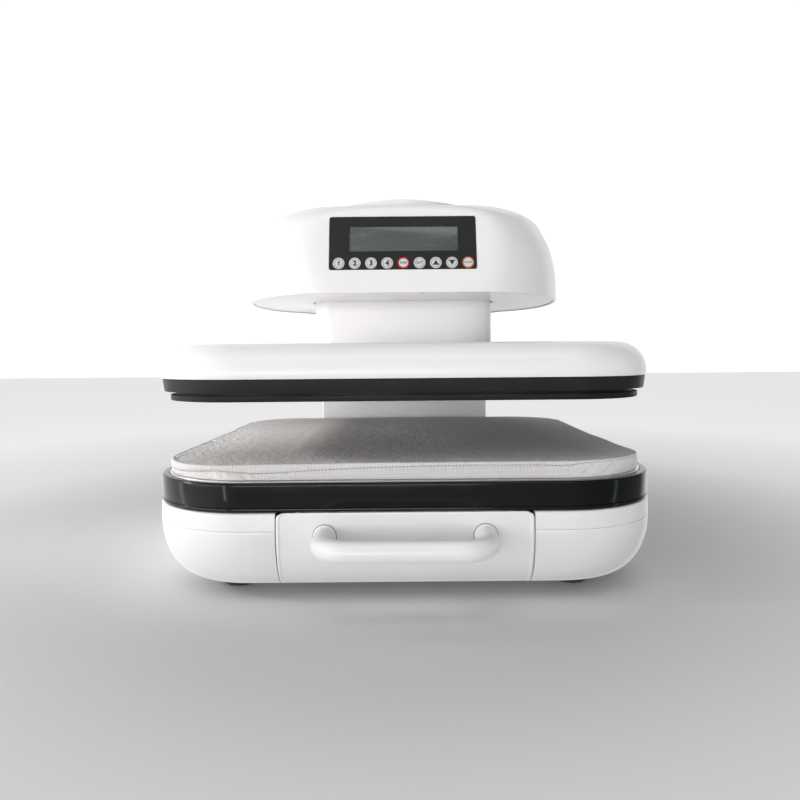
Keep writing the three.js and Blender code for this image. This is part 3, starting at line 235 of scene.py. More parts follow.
WHITE = (0.875, 0.87, 0.88)
HEAD_WHITE = (0.885, 0.868, 0.862)
FINISHES = {
    "white_shell": dict(
        color=WHITE, rough=0.34, coat=0.25, coat_rough=0.18, grain=(1400, 0.006),
        ripple=(30, 0.05), mottle=0.012, rough_span=0.05,
    ),
    "white_head": dict(
        color=HEAD_WHITE, rough=0.32, coat=0.3, coat_rough=0.12, grain=(1400, 0.005),
        ripple=(24, 0.02), mottle=0.012, rough_span=0.05,
    ),
    "white_gloss": dict(
        color=HEAD_WHITE, rough=0.32, coat=0.35, coat_rough=0.08, grain=(1400, 0.003),
        ripple=(30, 0.03), mottle=0.012, rough_span=0.05,
    ),
    "white_paint": dict(
        color=(0.90, 0.885, 0.895), rough=0.42, grain=(2200, 0.012), ripple=(90, 0.02),
        mottle=0.012, rough_span=0.06,
    ),
    "black_gloss": dict(
        color=(0.0045, 0.0045, 0.005), rough=0.13, specular=0.34, grain=(1600, 0.003),
        ripple=(22, 0.10), mottle=0.2, rough_span=0.07, dust=0.02,
    ),
    "panel_film": dict(
        color=(0.017, 0.017, 0.018), rough=0.36, specular=0.3, grain=(1800, 0.006),
        ripple=(40, 0.03), mottle=0.15, rough_span=0.1, dust=0.03,
    ),
    "black_matt": dict(
        color=(0.014, 0.0145, 0.017), rough=0.46, specular=0.25, grain=(1800, 0.03), mottle=0.2,
        rough_span=0.1, dust=0.03,
    ),
    "foot_rubber": dict(
        color=(0.02, 0.02, 0.02), rough=0.75, grain=(900, 0.05), mottle=0.2, dust=0.1,
    ),
    "steel": dict(
        color=(0.42, 0.43, 0.45), rough=0.38, metal=1, grain=(1200, 0.01), mottle=0.12,
        stretch=(1, 1, 14), rough_span=0.12,
    ),
    "bright_steel": dict(
        color=(0.62, 0.63, 0.65), rough=0.24, metal=1, grain=(1500, 0.006), mottle=0.06,
        stretch=(1, 8, 1), rough_span=0.1,
    ),
    "cast_aluminium": dict(
        color=(0.66, 0.67, 0.69), rough=0.36, metal=1, grain=(700, 0.02), mottle=0.08,
        stretch=(9, 1, 1), rough_span=0.12,
    ),
    "coated_casting": dict(
        color=(0.016, 0.0125, 0.011), rough=0.42, specular=0.2, grain=(520, 0.12),
        ripple=(150, 0.05), mottle=0.35, rough_span=0.16, stretch=(0.5, 0.5, 2), dust=0.16,
    ),
    "bronze": dict(
        color=(0.58, 0.40, 0.19), rough=0.36, metal=1, grain=(1100, 0.01), mottle=0.12,
        stretch=(1, 1, 20),
    ),
    "silicone": dict(
        color=(0.50, 0.11, 0.04), rough=0.7, grain=(500, 0.08), mottle=0.1, dust=0.05,
    ),
    "insulation": dict(
        color=(0.66, 0.60, 0.42), rough=0.92, grain=(380, 0.2), mottle=0.12, stretch=(1, 3, 1),
    ),
    "circuit_board": dict(
        color=(0.02, 0.15, 0.06), rough=0.4, coat=0.3, grain=(260, 0.05), mottle=0.3,
    ),
    "key_white": dict(
        color=(0.56, 0.565, 0.57), rough=0.4, coat=0.2, grain=(2500, 0.008), mottle=0.03,
    ),
    "key_lens": dict(
        color=(0.66, 0.66, 0.655), rough=0.3, coat=0.4, grain=(2500, 0.006), mottle=0.02,
    ),
    "ink": dict(color=(0.02, 0.02, 0.022), rough=0.5, grain=(2500, 0.01), mottle=0.2),
    "key_groove": dict(color=(0.16, 0.16, 0.165), rough=0.5, mottle=0.1),
    "ink_red": dict(color=(0.66, 0.004, 0.016), rough=0.35, coat=0.2, mottle=0.06),
    "ink_orange": dict(color=(0.70, 0.17, 0.012), rough=0.35, coat=0.2, mottle=0.06),
}
M = {name: surface(name, **finish) for name, finish in FINISHES.items()}
M["pad_fabric"] = fabric("pad_fabric", (0.76, 0.745, 0.74), 0.7, middle_tint=(0.86, 0.80, 0.775),
                         puckers=2.0)
M["hem_fabric"] = fabric("hem_fabric", (0.77, 0.757, 0.75), 0.7)
# The thread's dark grey is partly its own colour and partly painted shade of the dimples the
# stitches pull in.
M["thread"] = fabric("thread", (0.20, 0.19, 0.185), 0.3, 0.4)


def display_material():
    """The unlit display: grey-green, uneven in tone, with faint film smears and a fine grain."""
    mat, tree, links = new_material("lcd")
    shader = tree["Principled BSDF"]
    vector = mapped(tree, links)
    smears = noise(tree, links, mapped(tree, links, (1, 3, 7), (0, 0.5, 0.3)), 36, 8, 0.72)
    base = tint(
        tree, links, spread(tree, links, noise(tree, links, vector, 26, 3), 0, 1),
        (0.066, 0.082, 0.074), (0.088, 0.102, 0.096),
    )
    haze = spread(tree, links, smears, 0, 0.6, 0.56, 0.78)
    links.new(tint(tree, links, haze, base, (0.20, 0.215, 0.20)), shader.inputs["Base Color"])
    links.new(spread(tree, links, smears, 0.12, 0.34), shader.inputs["Roughness"])
    grain = noise(tree, links, vector, 2400, 2)
    links.new(bump(tree, links, grain, 0.003), shader.inputs["Normal"])
    shader.inputs["Coat Weight"].default_value = 0.5
    shader.inputs["Coat Roughness"].default_value = 0.08
    return mat


M["lcd"] = display_material()

# ---- Meshes


def outline(width, depth, corner, inset=0.0, arc=20, along=1, cy=PRESS_Y, cx=0.0):
    """A round-cornered rectangle, counter-clockwise, with its outward directions."""
    radius = max(corner - inset, 0.4)
    half = np.array([width / 2 - inset - radius, depth / 2 - inset - radius])
    points, normals = [], []
    signs = [(1, 1), (-1, 1), (-1, -1), (1, -1)]
    for k in range(4):
        centre = np.array(signs[k]) * half
        angles = (k + np.linspace(0, 1, arc + 1)) * math.pi / 2
        out = np.stack([np.cos(angles), np.sin(angles)], axis=1)
        points.extend(centre + radius * out)
        normals.extend(out)
        following = np.array(signs[(k + 1) % 4]) * half + radius * out[-1]
        start = points[-1]
        for i in range(1, along):
            points.append(start + (following - start) * i / along)
            normals.append(out[-1])
    return np.array(points) + (cx, cy), np.array(normals)


def level(points, z):
    """Flat points (x, y) as a ring at one height, or at a height for each point."""
    return np.column_stack([points, np.broadcast_to(z, len(points))])


def loft(rings, closed=False):
    """Rings of as many points each, as a closed skin."""
    size = len(rings[0])
    verts = np.concatenate(rings)
    count = len(rings)
    faces = []
    for r in range(count if closed else count - 1):
        low, high = r * size, ((r + 1) % count) * size
        for i in range(size):
            j = (i + 1) % size
            faces.append((low + i, low + j, high + j, high + i))
    if not closed:
        faces.append(tuple(range(size))[::-1])
        faces.append(tuple(range((count - 1) * size, count * size)))
    return verts, faces


def arc_profile(start, end, steps, along_first):
    """A quarter round from one [inset, z] to another."""
    angles = np.linspace(0, math.pi / 2, steps + 1)
    grow, slow = np.sin(angles), 1 - np.cos(angles)
    first, second = (grow, slow) if along_first else (slow, grow)
    return [
        (start[0] + (end[0] - start[0]) * a, start[1] + (end[1] - start[1]) * b)
        for a, b in zip(first, second)
    ]


def pan(shape, profile, closed=False, arc=20):
    """A round-cornered body (width, depth, corner, middle y) from its (inset, z) profile."""
    rings = [level(outline(*shape[:3], inset=i, arc=arc, cy=shape[3])[0], z) for i, z in profile]
    return loft(rings, closed)


def shade(mesh, angle=35):
    """Turns the faces outward and smooths all but the edges sharper than an angle."""
    bm = bmesh.new()
    bm.from_mesh(mesh)
    bmesh.ops.recalc_face_normals(bm, faces=bm.faces)
    bm.to_mesh(mesh)
    bm.free()
    mesh.shade_smooth()
    mesh.set_sharp_from_angle(angle=math.radians(angle))


def mesh_object(name, parts, material, angle=35):
    """One object from one (verts, faces) or several, in millimetres."""
    if isinstance(parts, tuple):
        parts = [parts]
    verts, faces = [], []
    for part_verts, part_faces in parts:
        base = len(verts)
        verts.extend(np.asarray(part_verts) * MM)
        faces.extend([tuple(base + i for i in f) for f in part_faces])
    mesh = bpy.data.meshes.new(name)
    mesh.from_pydata([tuple(v) for v in verts], [], faces)
    mesh.validate()
    obj = bpy.data.objects.new(name, mesh)
    bpy.context.scene.collection.objects.link(obj)
    obj.data.materials.append(material)
    shade(mesh, angle)
    return obj


def settle(obj, angle=35):
    """Applies an object's modifiers."""
    graph = bpy.context.evaluated_depsgraph_get()
    graph.update()
    mesh = bpy.data.meshes.new_from_object(obj.evaluated_get(graph))
    obj.modifiers.clear()
    obj.data = mesh
    shade(mesh, angle)


def round_edges(obj, width, segments):
    mod = obj.modifiers.new("edge", "BEVEL")
    mod.width = width * MM
    mod.segments = segments
    mod.limit_method = "ANGLE"
    mod.angle_limit = math.radians(40)


def carve(obj, cutters, bevel=0.0, angle=35):
    """Cuts the cutters out of an object, removes them, and rounds the new edges."""
    for cutter in cutters:
        mod = obj.modifiers.new("cut", "BOOLEAN")
        mod.operation = "DIFFERENCE"
        mod.solver = "EXACT"
        mod.object = cutter
    if bevel:
        round_edges(obj, bevel, 2)
    settle(obj, angle)
    for cutter in cutters:
        bpy.data.objects.remove(cutter)


def block(name, x, y, z):
    """A box to cut with, from its (low, high) on each axis."""
    corners = [(x[i], y[j], z[k]) for i in (0, 1) for j in (0, 1) for k in (0, 1)]
    faces = [(0, 1, 3, 2), (4, 6, 7, 5), (0, 4, 5, 1), (2, 3, 7, 6), (0, 2, 6, 4), (1, 5, 7, 3)]
    return mesh_object(name, (corners, faces), M["steel"])


def place(obj, body, slot, *replaced):
    """Puts a piece on its body, and in place of the nodes that it stands for."""
    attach(obj, body)
    if replaced:
        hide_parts(*replaced)
    return obj


# ---- Sizes shared with the CAD source

BASE_FRONT, BASE_REAR = -203.6 + PRESS_Y, 308 + PRESS_Y
BASE = (397, 511.6, 80, (BASE_FRONT + BASE_REAR) / 2)
RIM = (396, 400, 80, BASE_FRONT + 200)
PAD = (380, 380, 60, PRESS_Y)
PLATEN = (398, 398, 77, PRESS_Y)
HEAT = (380, 380, 61, PRESS_Y)
SHROUD = (172, 90, 20, PRESS_Y)
YOKE_NECK = (157.4, 80.4, 16.2, PRESS_Y)
COLUMN_FRONT = 203 + PRESS_Y
COLUMN = (217, 105, 3, COLUMN_FRONT + 52.5)
FLOOR_Z, SEAM_Z, DECK_Z = 9.4, 55, 68.4
BOWL_INSET, WALL = 31, 3
COLUMN_CUT = 99.4  # half the width of the deck's opening under the column
SEAM_GAP = 0.14
RIM_Z, RIM_TOP = 69.2, 89.9
PLATE_Z = 90.5
PAD_Z = 90.8
PAD_DRAW_IN = 2.2  # how far the pad's sides curve in between its corners
HEAT_Z, BAND_Z = 147.5, 154.5
PLATEN_Z, PLATEN_TOP, PLATEN_ROUND = 164.7, 191.1, 22
HEAD_Z = 232.9
OPENING = 93.8  # half the width of the drawer's opening in the base


# ---- Base shells


def base_shells():
    lower = mesh_object("base_bowl", pan(BASE, [
        *arc_profile((BOWL_INSET, FLOOR_Z), (0, SEAM_Z), 28, True),
        *arc_profile((BOWL_INSET + WALL, FLOOR_Z + WALL), (WALL, SEAM_Z), 28, True)[::-1],
    ], arc=32), M["white_shell"])
    notch = block("notch", (-OPENING, OPENING), (BASE_FRONT - 5, BASE_FRONT + 29.4),
                  (FLOOR_Z + 1.6, DECK_Z + 5))
    carve(lower, [notch], 0.5)
    place(lower, "base", "white_shell", "base_lower_shell")

    seam = SEAM_Z + SEAM_GAP
    upper = mesh_object("base_cover", pan(BASE, [
        (BASE[2] * 0.7, DECK_Z),
        *arc_profile((0, DECK_Z - 2.2), (2.2, DECK_Z), 8, False)[::-1],
        (0, seam + 0.3), (0.25, seam), (WALL, seam), (WALL, DECK_Z - WALL),
        (BASE[2] * 0.7, DECK_Z - WALL),
    ], arc=32), M["white_shell"])
    for half, front, rear in (
        (COLUMN_CUT, COLUMN_FRONT + 2.3, BASE_REAR - 2.3),
        (OPENING, BASE_FRONT - 5, RIM[3] + RIM[1] / 2 - 20),
    ):
        cut = block("deck_cut", (-half, half), (front, rear), (SEAM_Z - 5, DECK_Z + 5))
        carve(upper, [cut])
    place(upper, "base", "white_shell", "base_upper_cover")


def bowl_y(z, inset=0.0):
    """Where the bowl's front face stands at a height."""
    share = np.clip((SEAM_Z - np.asarray(z, float)) / (SEAM_Z - FLOOR_Z), 0, 1)
    return BASE_FRONT + inset + BOWL_INSET * (1 - np.sqrt(1 - share**2))


def drawer():
    """The drawer's face: the bowl's own curve, with a raised bead along both sides."""
    top, bottom = DECK_Z, FLOOR_Z + 1.8
    half, corner, wall = 93.0, 4.5, 4.0
    heights = np.concatenate([
        bottom + (SEAM_Z - bottom) * np.linspace(0, 1, 22), np.linspace(SEAM_Z, top, 8)[1:],
    ])
    inward = np.array([0, 0.15, 0.4, 0.8, 1.2, 1.6, 2.0, 2.4, 2.9, 3.6, 4.5, 6])
    columns = half - np.concatenate([inward, np.linspace(6, half, 34)[1:]])
    columns = np.concatenate([-columns, columns[-2::-1]])
    bead = 0.75 * np.exp(-(((half - np.abs(columns) - 1.3) / 0.95) ** 2))
    front, back = [], []
    for z in heights:
        drop = max(0.0, z - (top - corner))
        width = half - corner + math.sqrt(max(corner**2 - drop**2, 0))
        across, level_z = columns * width / half, np.full(len(columns), z)
        front.append(np.column_stack([across, bowl_y(z) - bead, level_z]))
        back.append(np.column_stack([across, np.full(len(columns), bowl_y(z) + wall), level_z]))
    rings = [np.concatenate([f, b[::-1]]) for f, b in zip(front, back)]
    obj = mesh_object("drawer_face", loft(rings), M["white_shell"])
    round_edges(obj, 0.8, 3)
    settle(obj)
    place(obj, "tray", "white_shell", "drawer_front")


def sweep(path, radius, sides=36):
    """A round tube of varying radius along points, with flat ends."""
    path = np.asarray(path, float)
    tangents = np.gradient(path, axis=0)
    tangents /= np.linalg.norm(tangents, axis=1)[:, None]
    up = np.array([0, 0, 1.0])
    angles = np.arange(sides) / sides * TAU
    rings = []
    for p, t, r in zip(path, tangents, np.broadcast_to(radius, len(path))):
        side = np.cross(t, up)
        side /= np.linalg.norm(side)
        top = np.cross(side, t)
        rings.append(p + r * (np.outer(np.cos(angles), side) + np.outer(np.sin(angles), top)))
    return loft(rings)


def handle():
    """A bent tube on two roses, each with a thin dark disc behind it as a painted shadow line."""
    leg, reach, bend, z, tube = 58, 40, 20, 51.5, 7.6
    rose = [(8.4, 0), (8.4, 1.2), (8.3, 1.9), (8.0, 2.4), (7.4, 2.7), (6.4, 2.8)]
    face = BASE_FRONT - 0.3
    bar = BASE_FRONT - reach
    turns = np.linspace(0, math.pi / 2, 19)
    left = np.column_stack([
        -leg + bend * (1 - np.cos(turns)), bar + bend - bend * np.sin(turns), np.full(19, z)
    ])
    legs = np.column_stack([np.full(5, -leg), np.linspace(face, bar + bend, 6)[:-1], np.full(5, z)])
    half = np.concatenate([legs, left])
    middle = np.column_stack([
        np.linspace(-leg + bend, leg - bend, 26)[1:-1], np.full(24, bar), np.full(24, z)
    ])
    path = np.concatenate([half, middle, half[::-1] * (-1, 1, 1)])
    parts, painted_shadow_discs = [sweep(path, tube)], []
    for x in (-leg, leg):
        parts.append(sweep([(x, face - out, z) for _, out in rose], [r for r, _ in rose]))
        # Painted shadow: a dark disc a little wider than the rose stands for the shadow line round
        # it.
        painted_shadow_discs.append(sweep([(x, face + 0.1, z), (x, face - 0.1, z)], 8.8))
    obj = mesh_object("bow_handle", parts, M["white_shell"], 50)
    place(obj, "tray", "white_shell", "pull_handle")
    # Painted shadow: dark grey discs for the shadow line round the roses.
    gap = mesh_object("handle_painted_shadow_disc", painted_shadow_discs, M["key_groove"], 50)
    place(gap, "tray", "white_shell")


# ---- Tray rim, plate and pad


def tray():
    groove = 2.6  # the height of the rim's seam groove over its lower edge
    rim = mesh_object("rim", pan(RIM, [
        (0.7, RIM_Z), (0.2, RIM_Z + 0.2), (0, RIM_Z + 0.7), (0, RIM_Z + groove - 0.5),
        (0.15, RIM_Z + groove - 0.2), (0.7, RIM_Z + groove), (0.15, RIM_Z + groove + 0.3),
        (0, RIM_Z + groove + 0.7),
        *arc_profile((0, RIM_TOP - 2.0), (2.0, RIM_TOP), 10, False),
        (4.9, RIM_TOP), (5.4, RIM_TOP - 0.5),
        (5.4, 79.2), (25.4, 79.2), (25.4, 76.4), (3, 76.4), (3, RIM_Z),
    ], True, 40), M["black_gloss"], 30)
    place(rim, "tray", "black_gloss", "tray_rim")
    plate = mesh_object("plate_under_pad", pan(RIM, [
        (5.7, 79.5), (5.7, PLATE_Z - 0.6), (5.9, PLATE_Z - 0.2), (6.3, PLATE_Z),
    ], arc=40), M["cast_aluminium"])
    place(plate, "tray", "cast_aluminium", "lower_plate")


def wobble(run, length, pitch, seed):
    """A smooth periodic random wave along a closed run, between -1 and 1."""
    count = max(4, round(length / pitch))
    values = np.random.default_rng(seed).uniform(-1, 1, count)
    at = np.asarray(run) / length * count
    first = np.floor(at).astype(int)
    share = (1 - np.cos((at - first) * math.pi)) / 2
    return values[first % count] * (1 - share) + values[(first + 1) % count] * share


def waves(points, size, seed, number=14):
    """Random crossing ripples over flat points, between about -1 and 1."""
    rng = np.random.default_rng(seed)
    total = np.zeros(len(points))
    for _ in range(number):
        heading, phase = rng.uniform(0, TAU, 2)
        k = TAU / (size * rng.uniform(0.6, 1.6))
        total += np.sin(points @ np.array([math.cos(heading), math.sin(heading)]) * k + phase)
    return total / math.sqrt(number)


def pad_outline(arc, along):
    """The pad's outline: points, outward directions, run, length, and nearness to a corner."""
    """The pad's edge, pulled in between its corners, with directions and the run along it."""
    points, normals = outline(*PAD[:3], arc=arc, along=along)
    pull = np.concatenate([np.concatenate([
        np.zeros(arc + 1), np.sin(np.pi * np.arange(1, along) / along)
    ]) for _ in range(4)])
    corner = np.concatenate([np.concatenate([
        np.ones(arc + 1),
        np.exp(-np.minimum(np.arange(1, along), along - np.arange(1, along)) / along * 22),
    ]) for _ in range(4)])
    points = points - normals * (PAD_DRAW_IN * pull)[:, None]
    steps = np.linalg.norm(np.roll(points, -1, axis=0) - points, axis=1)
    run = np.concatenate([[0], np.cumsum(steps)[:-1]])
    return points, normals, run, steps.sum(), corner


# The stitched seam's height and the rolled edge's, along the front from its middle.
SEAM_RUN = [
    -330, -260, -224, -200, -177, -159, -143, -132, -117, -113, -103, -88, -73, -43,
    0, 45, 90, 122, 132, 140, 155, 177, 200, 224, 260, 330,
]
STITCH_Z = [
    97.0, 96.5, 95.5, 94.6, 94.5, 95.7, 96.7, 96.1, 95.1, 94.5, 94.7, 95.3, 96.1, 97.4,
    98.5, 99.2, 99.1, 98.6, 100.4, 101.1, 101.5, 101.8, 101.2, 100.0, 98.0, 97.0,
]
ROLL_Z = [
    101.5, 101.4, 101.2, 101.0, 100.8, 100.8, 100.9, 100.9, 100.9, 100.9, 101.0, 101.1, 101.3,
    101.5, 101.7, 102.0, 102.0, 102.0, 102.2, 102.4, 102.6, 102.8, 102.6, 102.2, 101.7, 101.5,
]
STITCH_PITCH = 2.63
HEM_INSET = 7.4  # the pad's lower edge, in from the rim's outside


def seam_heights(points, run, length):
    """The run from the front's middle, and the heights of the stitches and the rolled edge."""
    middle = run[np.argmin(np.abs(points[:, 0]) + 1000 * (points[:, 1] > PRESS_Y))]
    front = (run - middle + length / 2) % length - length / 2
    sway = np.clip((np.abs(front) - 260) / 70, 0, 1)
    stitch = np.interp(front, SEAM_RUN, STITCH_Z) + 0.7 * sway * wobble(run, length, 60, 21)
    roll = np.interp(front, SEAM_RUN, ROLL_Z) + 0.3 * wobble(run, length, 46, 6)
    return front, stitch, roll


def pad_top():
    """The cover's crowned top, rolled over at its edge, with puckers near it."""
    points, normals, run, length, corner = pad_outline(30, 170)
    roll = seam_heights(points, run, length)[2]
    centre = np.array([0, PRESS_Y])
    facing = np.clip(-normals[:, 1], 0, 1)
    rings = [level(points - normals * 9, 93.5), level(points - normals * 3.4, roll - 2.4)]
    for inset, drop in ((3.0, 1.7), (3.1, 1.15), (3.5, 0.8)):
        rings.append(level(points - normals * inset, roll - drop * (0.3 + 0.7 * facing)))
    inner = points - normals * 4.0
    scales = 1 - np.concatenate([np.linspace(0, 0.09, 34), np.linspace(0.096, 0.985, 96)])
    for scale in scales:
        share = 1 - scale
        flat = centre + (inner - centre) * scale
        depth = share * PAD_REACH
        z = (101.0 + 3.5 * (1 - (1 - share) ** 2.2) + (0.5 - 1.5 * facing) * math.exp(-depth / 8)
             + (roll - 101.65) * math.exp(-depth / 18))
        rise = 1 - math.exp(-depth / 0.8)
        folds = (wobble((run + 0.9 * depth) % length, length, 3.7, 31)
                 + wobble((run - 0.9 * depth) % length, length, 4.6, 32)) * math.exp(-depth / 10)
        crepe = 0.15 * waves(flat, 9, 9)
        z = (z + 0.5 * rise * folds * (0.8 + 0.6 * corner) + crepe
             + 0.16 * waves(flat, 70, 3, 8) + 0.1 * waves(flat, 17, 4, 10))
        rings.append(level(flat, z))
    obj = mesh_object("pad_top", loft(rings), M["pad_fabric"], 60)
    place(obj, "tray", "pad_fabric", "pad_cover")


def sewing(run, length, front, corner):
    """The stitches' phase along the seam, and how firmly it is sewn."""
    phase = run * TAU / (length / round(length / STITCH_PITCH))
    return phase, 1 - 0.75 * corner * (np.abs(front) > 124)


def band_out(run, length, front, corner, gap, share):
    """How far the side band stands out, at a distance under the seam and a share of the height."""
    phase, sewn = sewing(run, length, front, corner)
    ribs = np.sin(phase + 0.9 * gap) * np.exp(-((gap / 1.4) ** 2))
    slanted = (run + 0.8 * gap) % length
    gathers = wobble(slanted, length, 8.3, 12) + 0.5 * wobble(slanted, length, 3.9, 13)
    folded = 0.28 + 0.5 * corner + 0.5 * np.exp(-(((front + 138) / 24) ** 2))
    window = math.sin(math.pi * min(1.0, 0.08 + share * 0.9)) ** 0.6
    piping = 0.5 * math.exp(-(((share - 0.07) / 0.06) ** 2))
    return (-0.95 + 0.55 * math.sin(math.pi * share) + piping + folded * gathers * window
            + 0.34 * ribs * sewn - 0.5 * np.exp(-((gap / 0.4) ** 2))
            + 0.25 * wobble(run, length, 31, 14))


def pad_band():
    """The cover's side band from its foot to its roll, and the stitches in its seam."""
    points, normals, run, length, corner = pad_outline(190, 520)
    foot = outline(RIM[0] - 2 * HEM_INSET, RIM[1] - 2 * HEM_INSET, RIM[2] - HEM_INSET,
                   arc=190, along=520, cy=RIM[3])[0]
    front, stitch, roll = seam_heights(points, run, length)
    phase, sewn = sewing(run, length, front, corner)
    bottom = PAD_Z + 0.1
    rings = [level(foot - normals * 6, bottom)]
    for share in np.concatenate([np.linspace(0, 0.2, 5), np.linspace(0.25, 1, 13)]):
        gap = (stitch - bottom) * (1 - share)
        out = band_out(run, length, front, corner, gap, share)
        flat = foot + (points - foot) * share**0.7 + normals * out[:, None]
        rings.append(level(flat, stitch - gap))
    turn = np.minimum(1.7, 0.8 * (roll - stitch))
    for share in (0.08, 0.2, 0.4, 0.65, 1.0):
        above = (roll - turn - stitch) * share
        out = (-1.45 + 1.45 * (1 - np.exp(-above / 0.55))
               + 0.27 * np.sin(phase) * sewn * np.exp(-above / 1.8))
        rings.append(level(points + normals * out[:, None], stitch + above))
    last = out
    for angle in np.linspace(0, math.pi / 2, 7)[1:]:
        out = last - turn * (1 - math.cos(angle))
        rings.append(level(points + normals * out[:, None], roll - turn * (1 - math.sin(angle))))
    for inset, drop in ((0.6, 0.12), (1.3, 0.5), (2.0, 1.1), (3.2, 2.6)):
        rings.append(level(points - normals * (turn + inset)[:, None], roll - drop))
    rings.append(level(points - normals * 7, bottom + 2))
    obj = mesh_object("pad_band", loft(rings, True), M["hem_fabric"], 60)
    place(obj, "tray", "pad_fabric", "pad_cover")

    stitches = []
    stands = band_out(run, length, front, corner, 0, 1.0)
    count = round(length / STITCH_PITCH)
    for k in range(count):
        at = np.array([k + 0.02, k + 0.35, k + 0.68]) / count * length
        spots = {}
        for key, values in (("x", points[:, 0]), ("y", points[:, 1]), ("u", normals[:, 0]),
                            ("v", normals[:, 1]), ("out", stands), ("z", stitch)):
            spots[key] = np.interp(at, run, values, period=length)
        stand = spots["out"] + np.array([-0.05, 0.2, -0.05])
        z = spots["z"] + np.array([-0.2, 0, 0.2])
        x, y = spots["x"] + spots["u"] * stand, spots["y"] + spots["v"] * stand
        path = np.column_stack([x, y, z])
        stitches.append(sweep(path, 0.23, 6))
    # Dark thread: partly its own colour and partly painted shade of the stitch dimples.
    thread = mesh_object("pad_stitches", stitches, M["thread"], 60)
    place(thread, "tray", "pad_fabric")


# ---- Upper platen, shroud and column


def platen():
    """The heat plate, its band and cover, the shroud above it, and the column behind."""
    heat = mesh_object("heating_plate", pan(HEAT, [
        (1.1, HEAT_Z), (0.3, HEAT_Z + 0.3), (0, HEAT_Z + 1.1), (0, HEAT_Z + 4.4),
        (4, HEAT_Z + 4.4), (4, HEAT_Z + 26.4),
    ], arc=40), M["coated_casting"])
    place(heat, "platen", "coated_casting", "heat_plate")
    band = mesh_object("band", pan(PLATEN, [
        (2.6, BAND_Z), (2.35, 155.0), (1.0, 163.9), (1.3, 164.4), (8, 164.4), (8, BAND_Z),
    ], True, 40), M["black_matt"])
    place(band, "platen", "black_matt", "platen_band")
    wall, shoulder = 2.6, PLATEN_TOP - PLATEN_ROUND
    cover = mesh_object("platen_shell", pan(PLATEN, [
        (PLATEN[2], PLATEN_TOP),
        *arc_profile((0, shoulder), (PLATEN_ROUND, PLATEN_TOP), 22, False)[::-1],
        (0, PLATEN_Z + 0.8), (0.5, PLATEN_Z), (wall, PLATEN_Z),
        *arc_profile((wall, shoulder), (PLATEN_ROUND, PLATEN_TOP - wall), 12, False),
        (PLATEN[2], PLATEN_TOP - wall),
    ], arc=40), M["white_shell"])
    hole = mesh_object("neck_hole", pan(YOKE_NECK, [
        (0, PLATEN_TOP - 8), (0, PLATEN_TOP + 5)]), M["steel"])
    carve(cover, [hole])
    place(cover, "platen", "white_shell", "platen_cover")
    shroud = mesh_object("shroud", pan(SHROUD, [
        (0, PLATEN_TOP + 0.3), (0, 283.5), (0.4, 283.9), (2.0, 283.9), (2.4, 283.5),
        (2.4, PLATEN_TOP + 0.3),
    ], True, 24), M["white_gloss"])
    place(shroud, "platen", "white_shell", "lift_shroud")
    column = mesh_object("column_shell", pan(COLUMN, [
        (0, DECK_Z + 0.3), (0, HEAD_Z - 0.3), (2, HEAD_Z - 0.3), (2, DECK_Z + 0.3),
    ], True, 10), M["white_paint"])
    inlet_x, inlet_z = 62, 114.4
    inlet = block("inlet_cut", (inlet_x - 13.8, inlet_x + 13.8), (BASE_REAR - 5, BASE_REAR + 5),
                  (inlet_z - 29.3, inlet_z + 29.3))
    carve(column, [inlet])
    place(column, "base", "white_paint", "column_cover")


# ---- Head housing


def smooth_max(a, b, k):
    h = np.clip(0.5 + 0.5 * (a - b) / k, 0, 1)
    return b * (1 - h) + a * h + k * h * (1 - h)


def smooth_min(a, b, k):
    return -smooth_max(-a, -b, k)


LEAN = math.radians(12.4)
FACE_Y = -137.6 + PRESS_Y
FACE_TOP = 75.4
FACE_TOP_Y = FACE_Y + FACE_TOP * math.tan(LEAN)
SLOPE = math.radians(11)  # the top's fall from the cap to the face
HEAD_HEIGHT = 93.1
HEAD_FLAT = HEAD_HEIGHT * 0.985
HEAD_WALL = 3.2
HEAD_CENTRE = np.array([0, PRESS_Y + 10, 0])
DOME_Y, DOME_SIDE, DOME_FRONT, DOME_REAR = PRESS_Y + 9, 152.3, 161.5, 134.3
NECK_SIDE, NECK_TOP, NECK_ROUND, REAR_ROUND = 108, 76, 22, 14
CAP_RADIUS, CAP_RISE = 68, 11.4


def rounded_corner(first, second, radius, elsewhere):
    """The distance to a rounded corner of two planes, or the one given away from it."""
    over, out = np.maximum(first + radius, 0), np.maximum(second + radius, 0)
    return np.where((over > 0) & (out > 0), np.hypot(over, out) - radius, elsewhere)


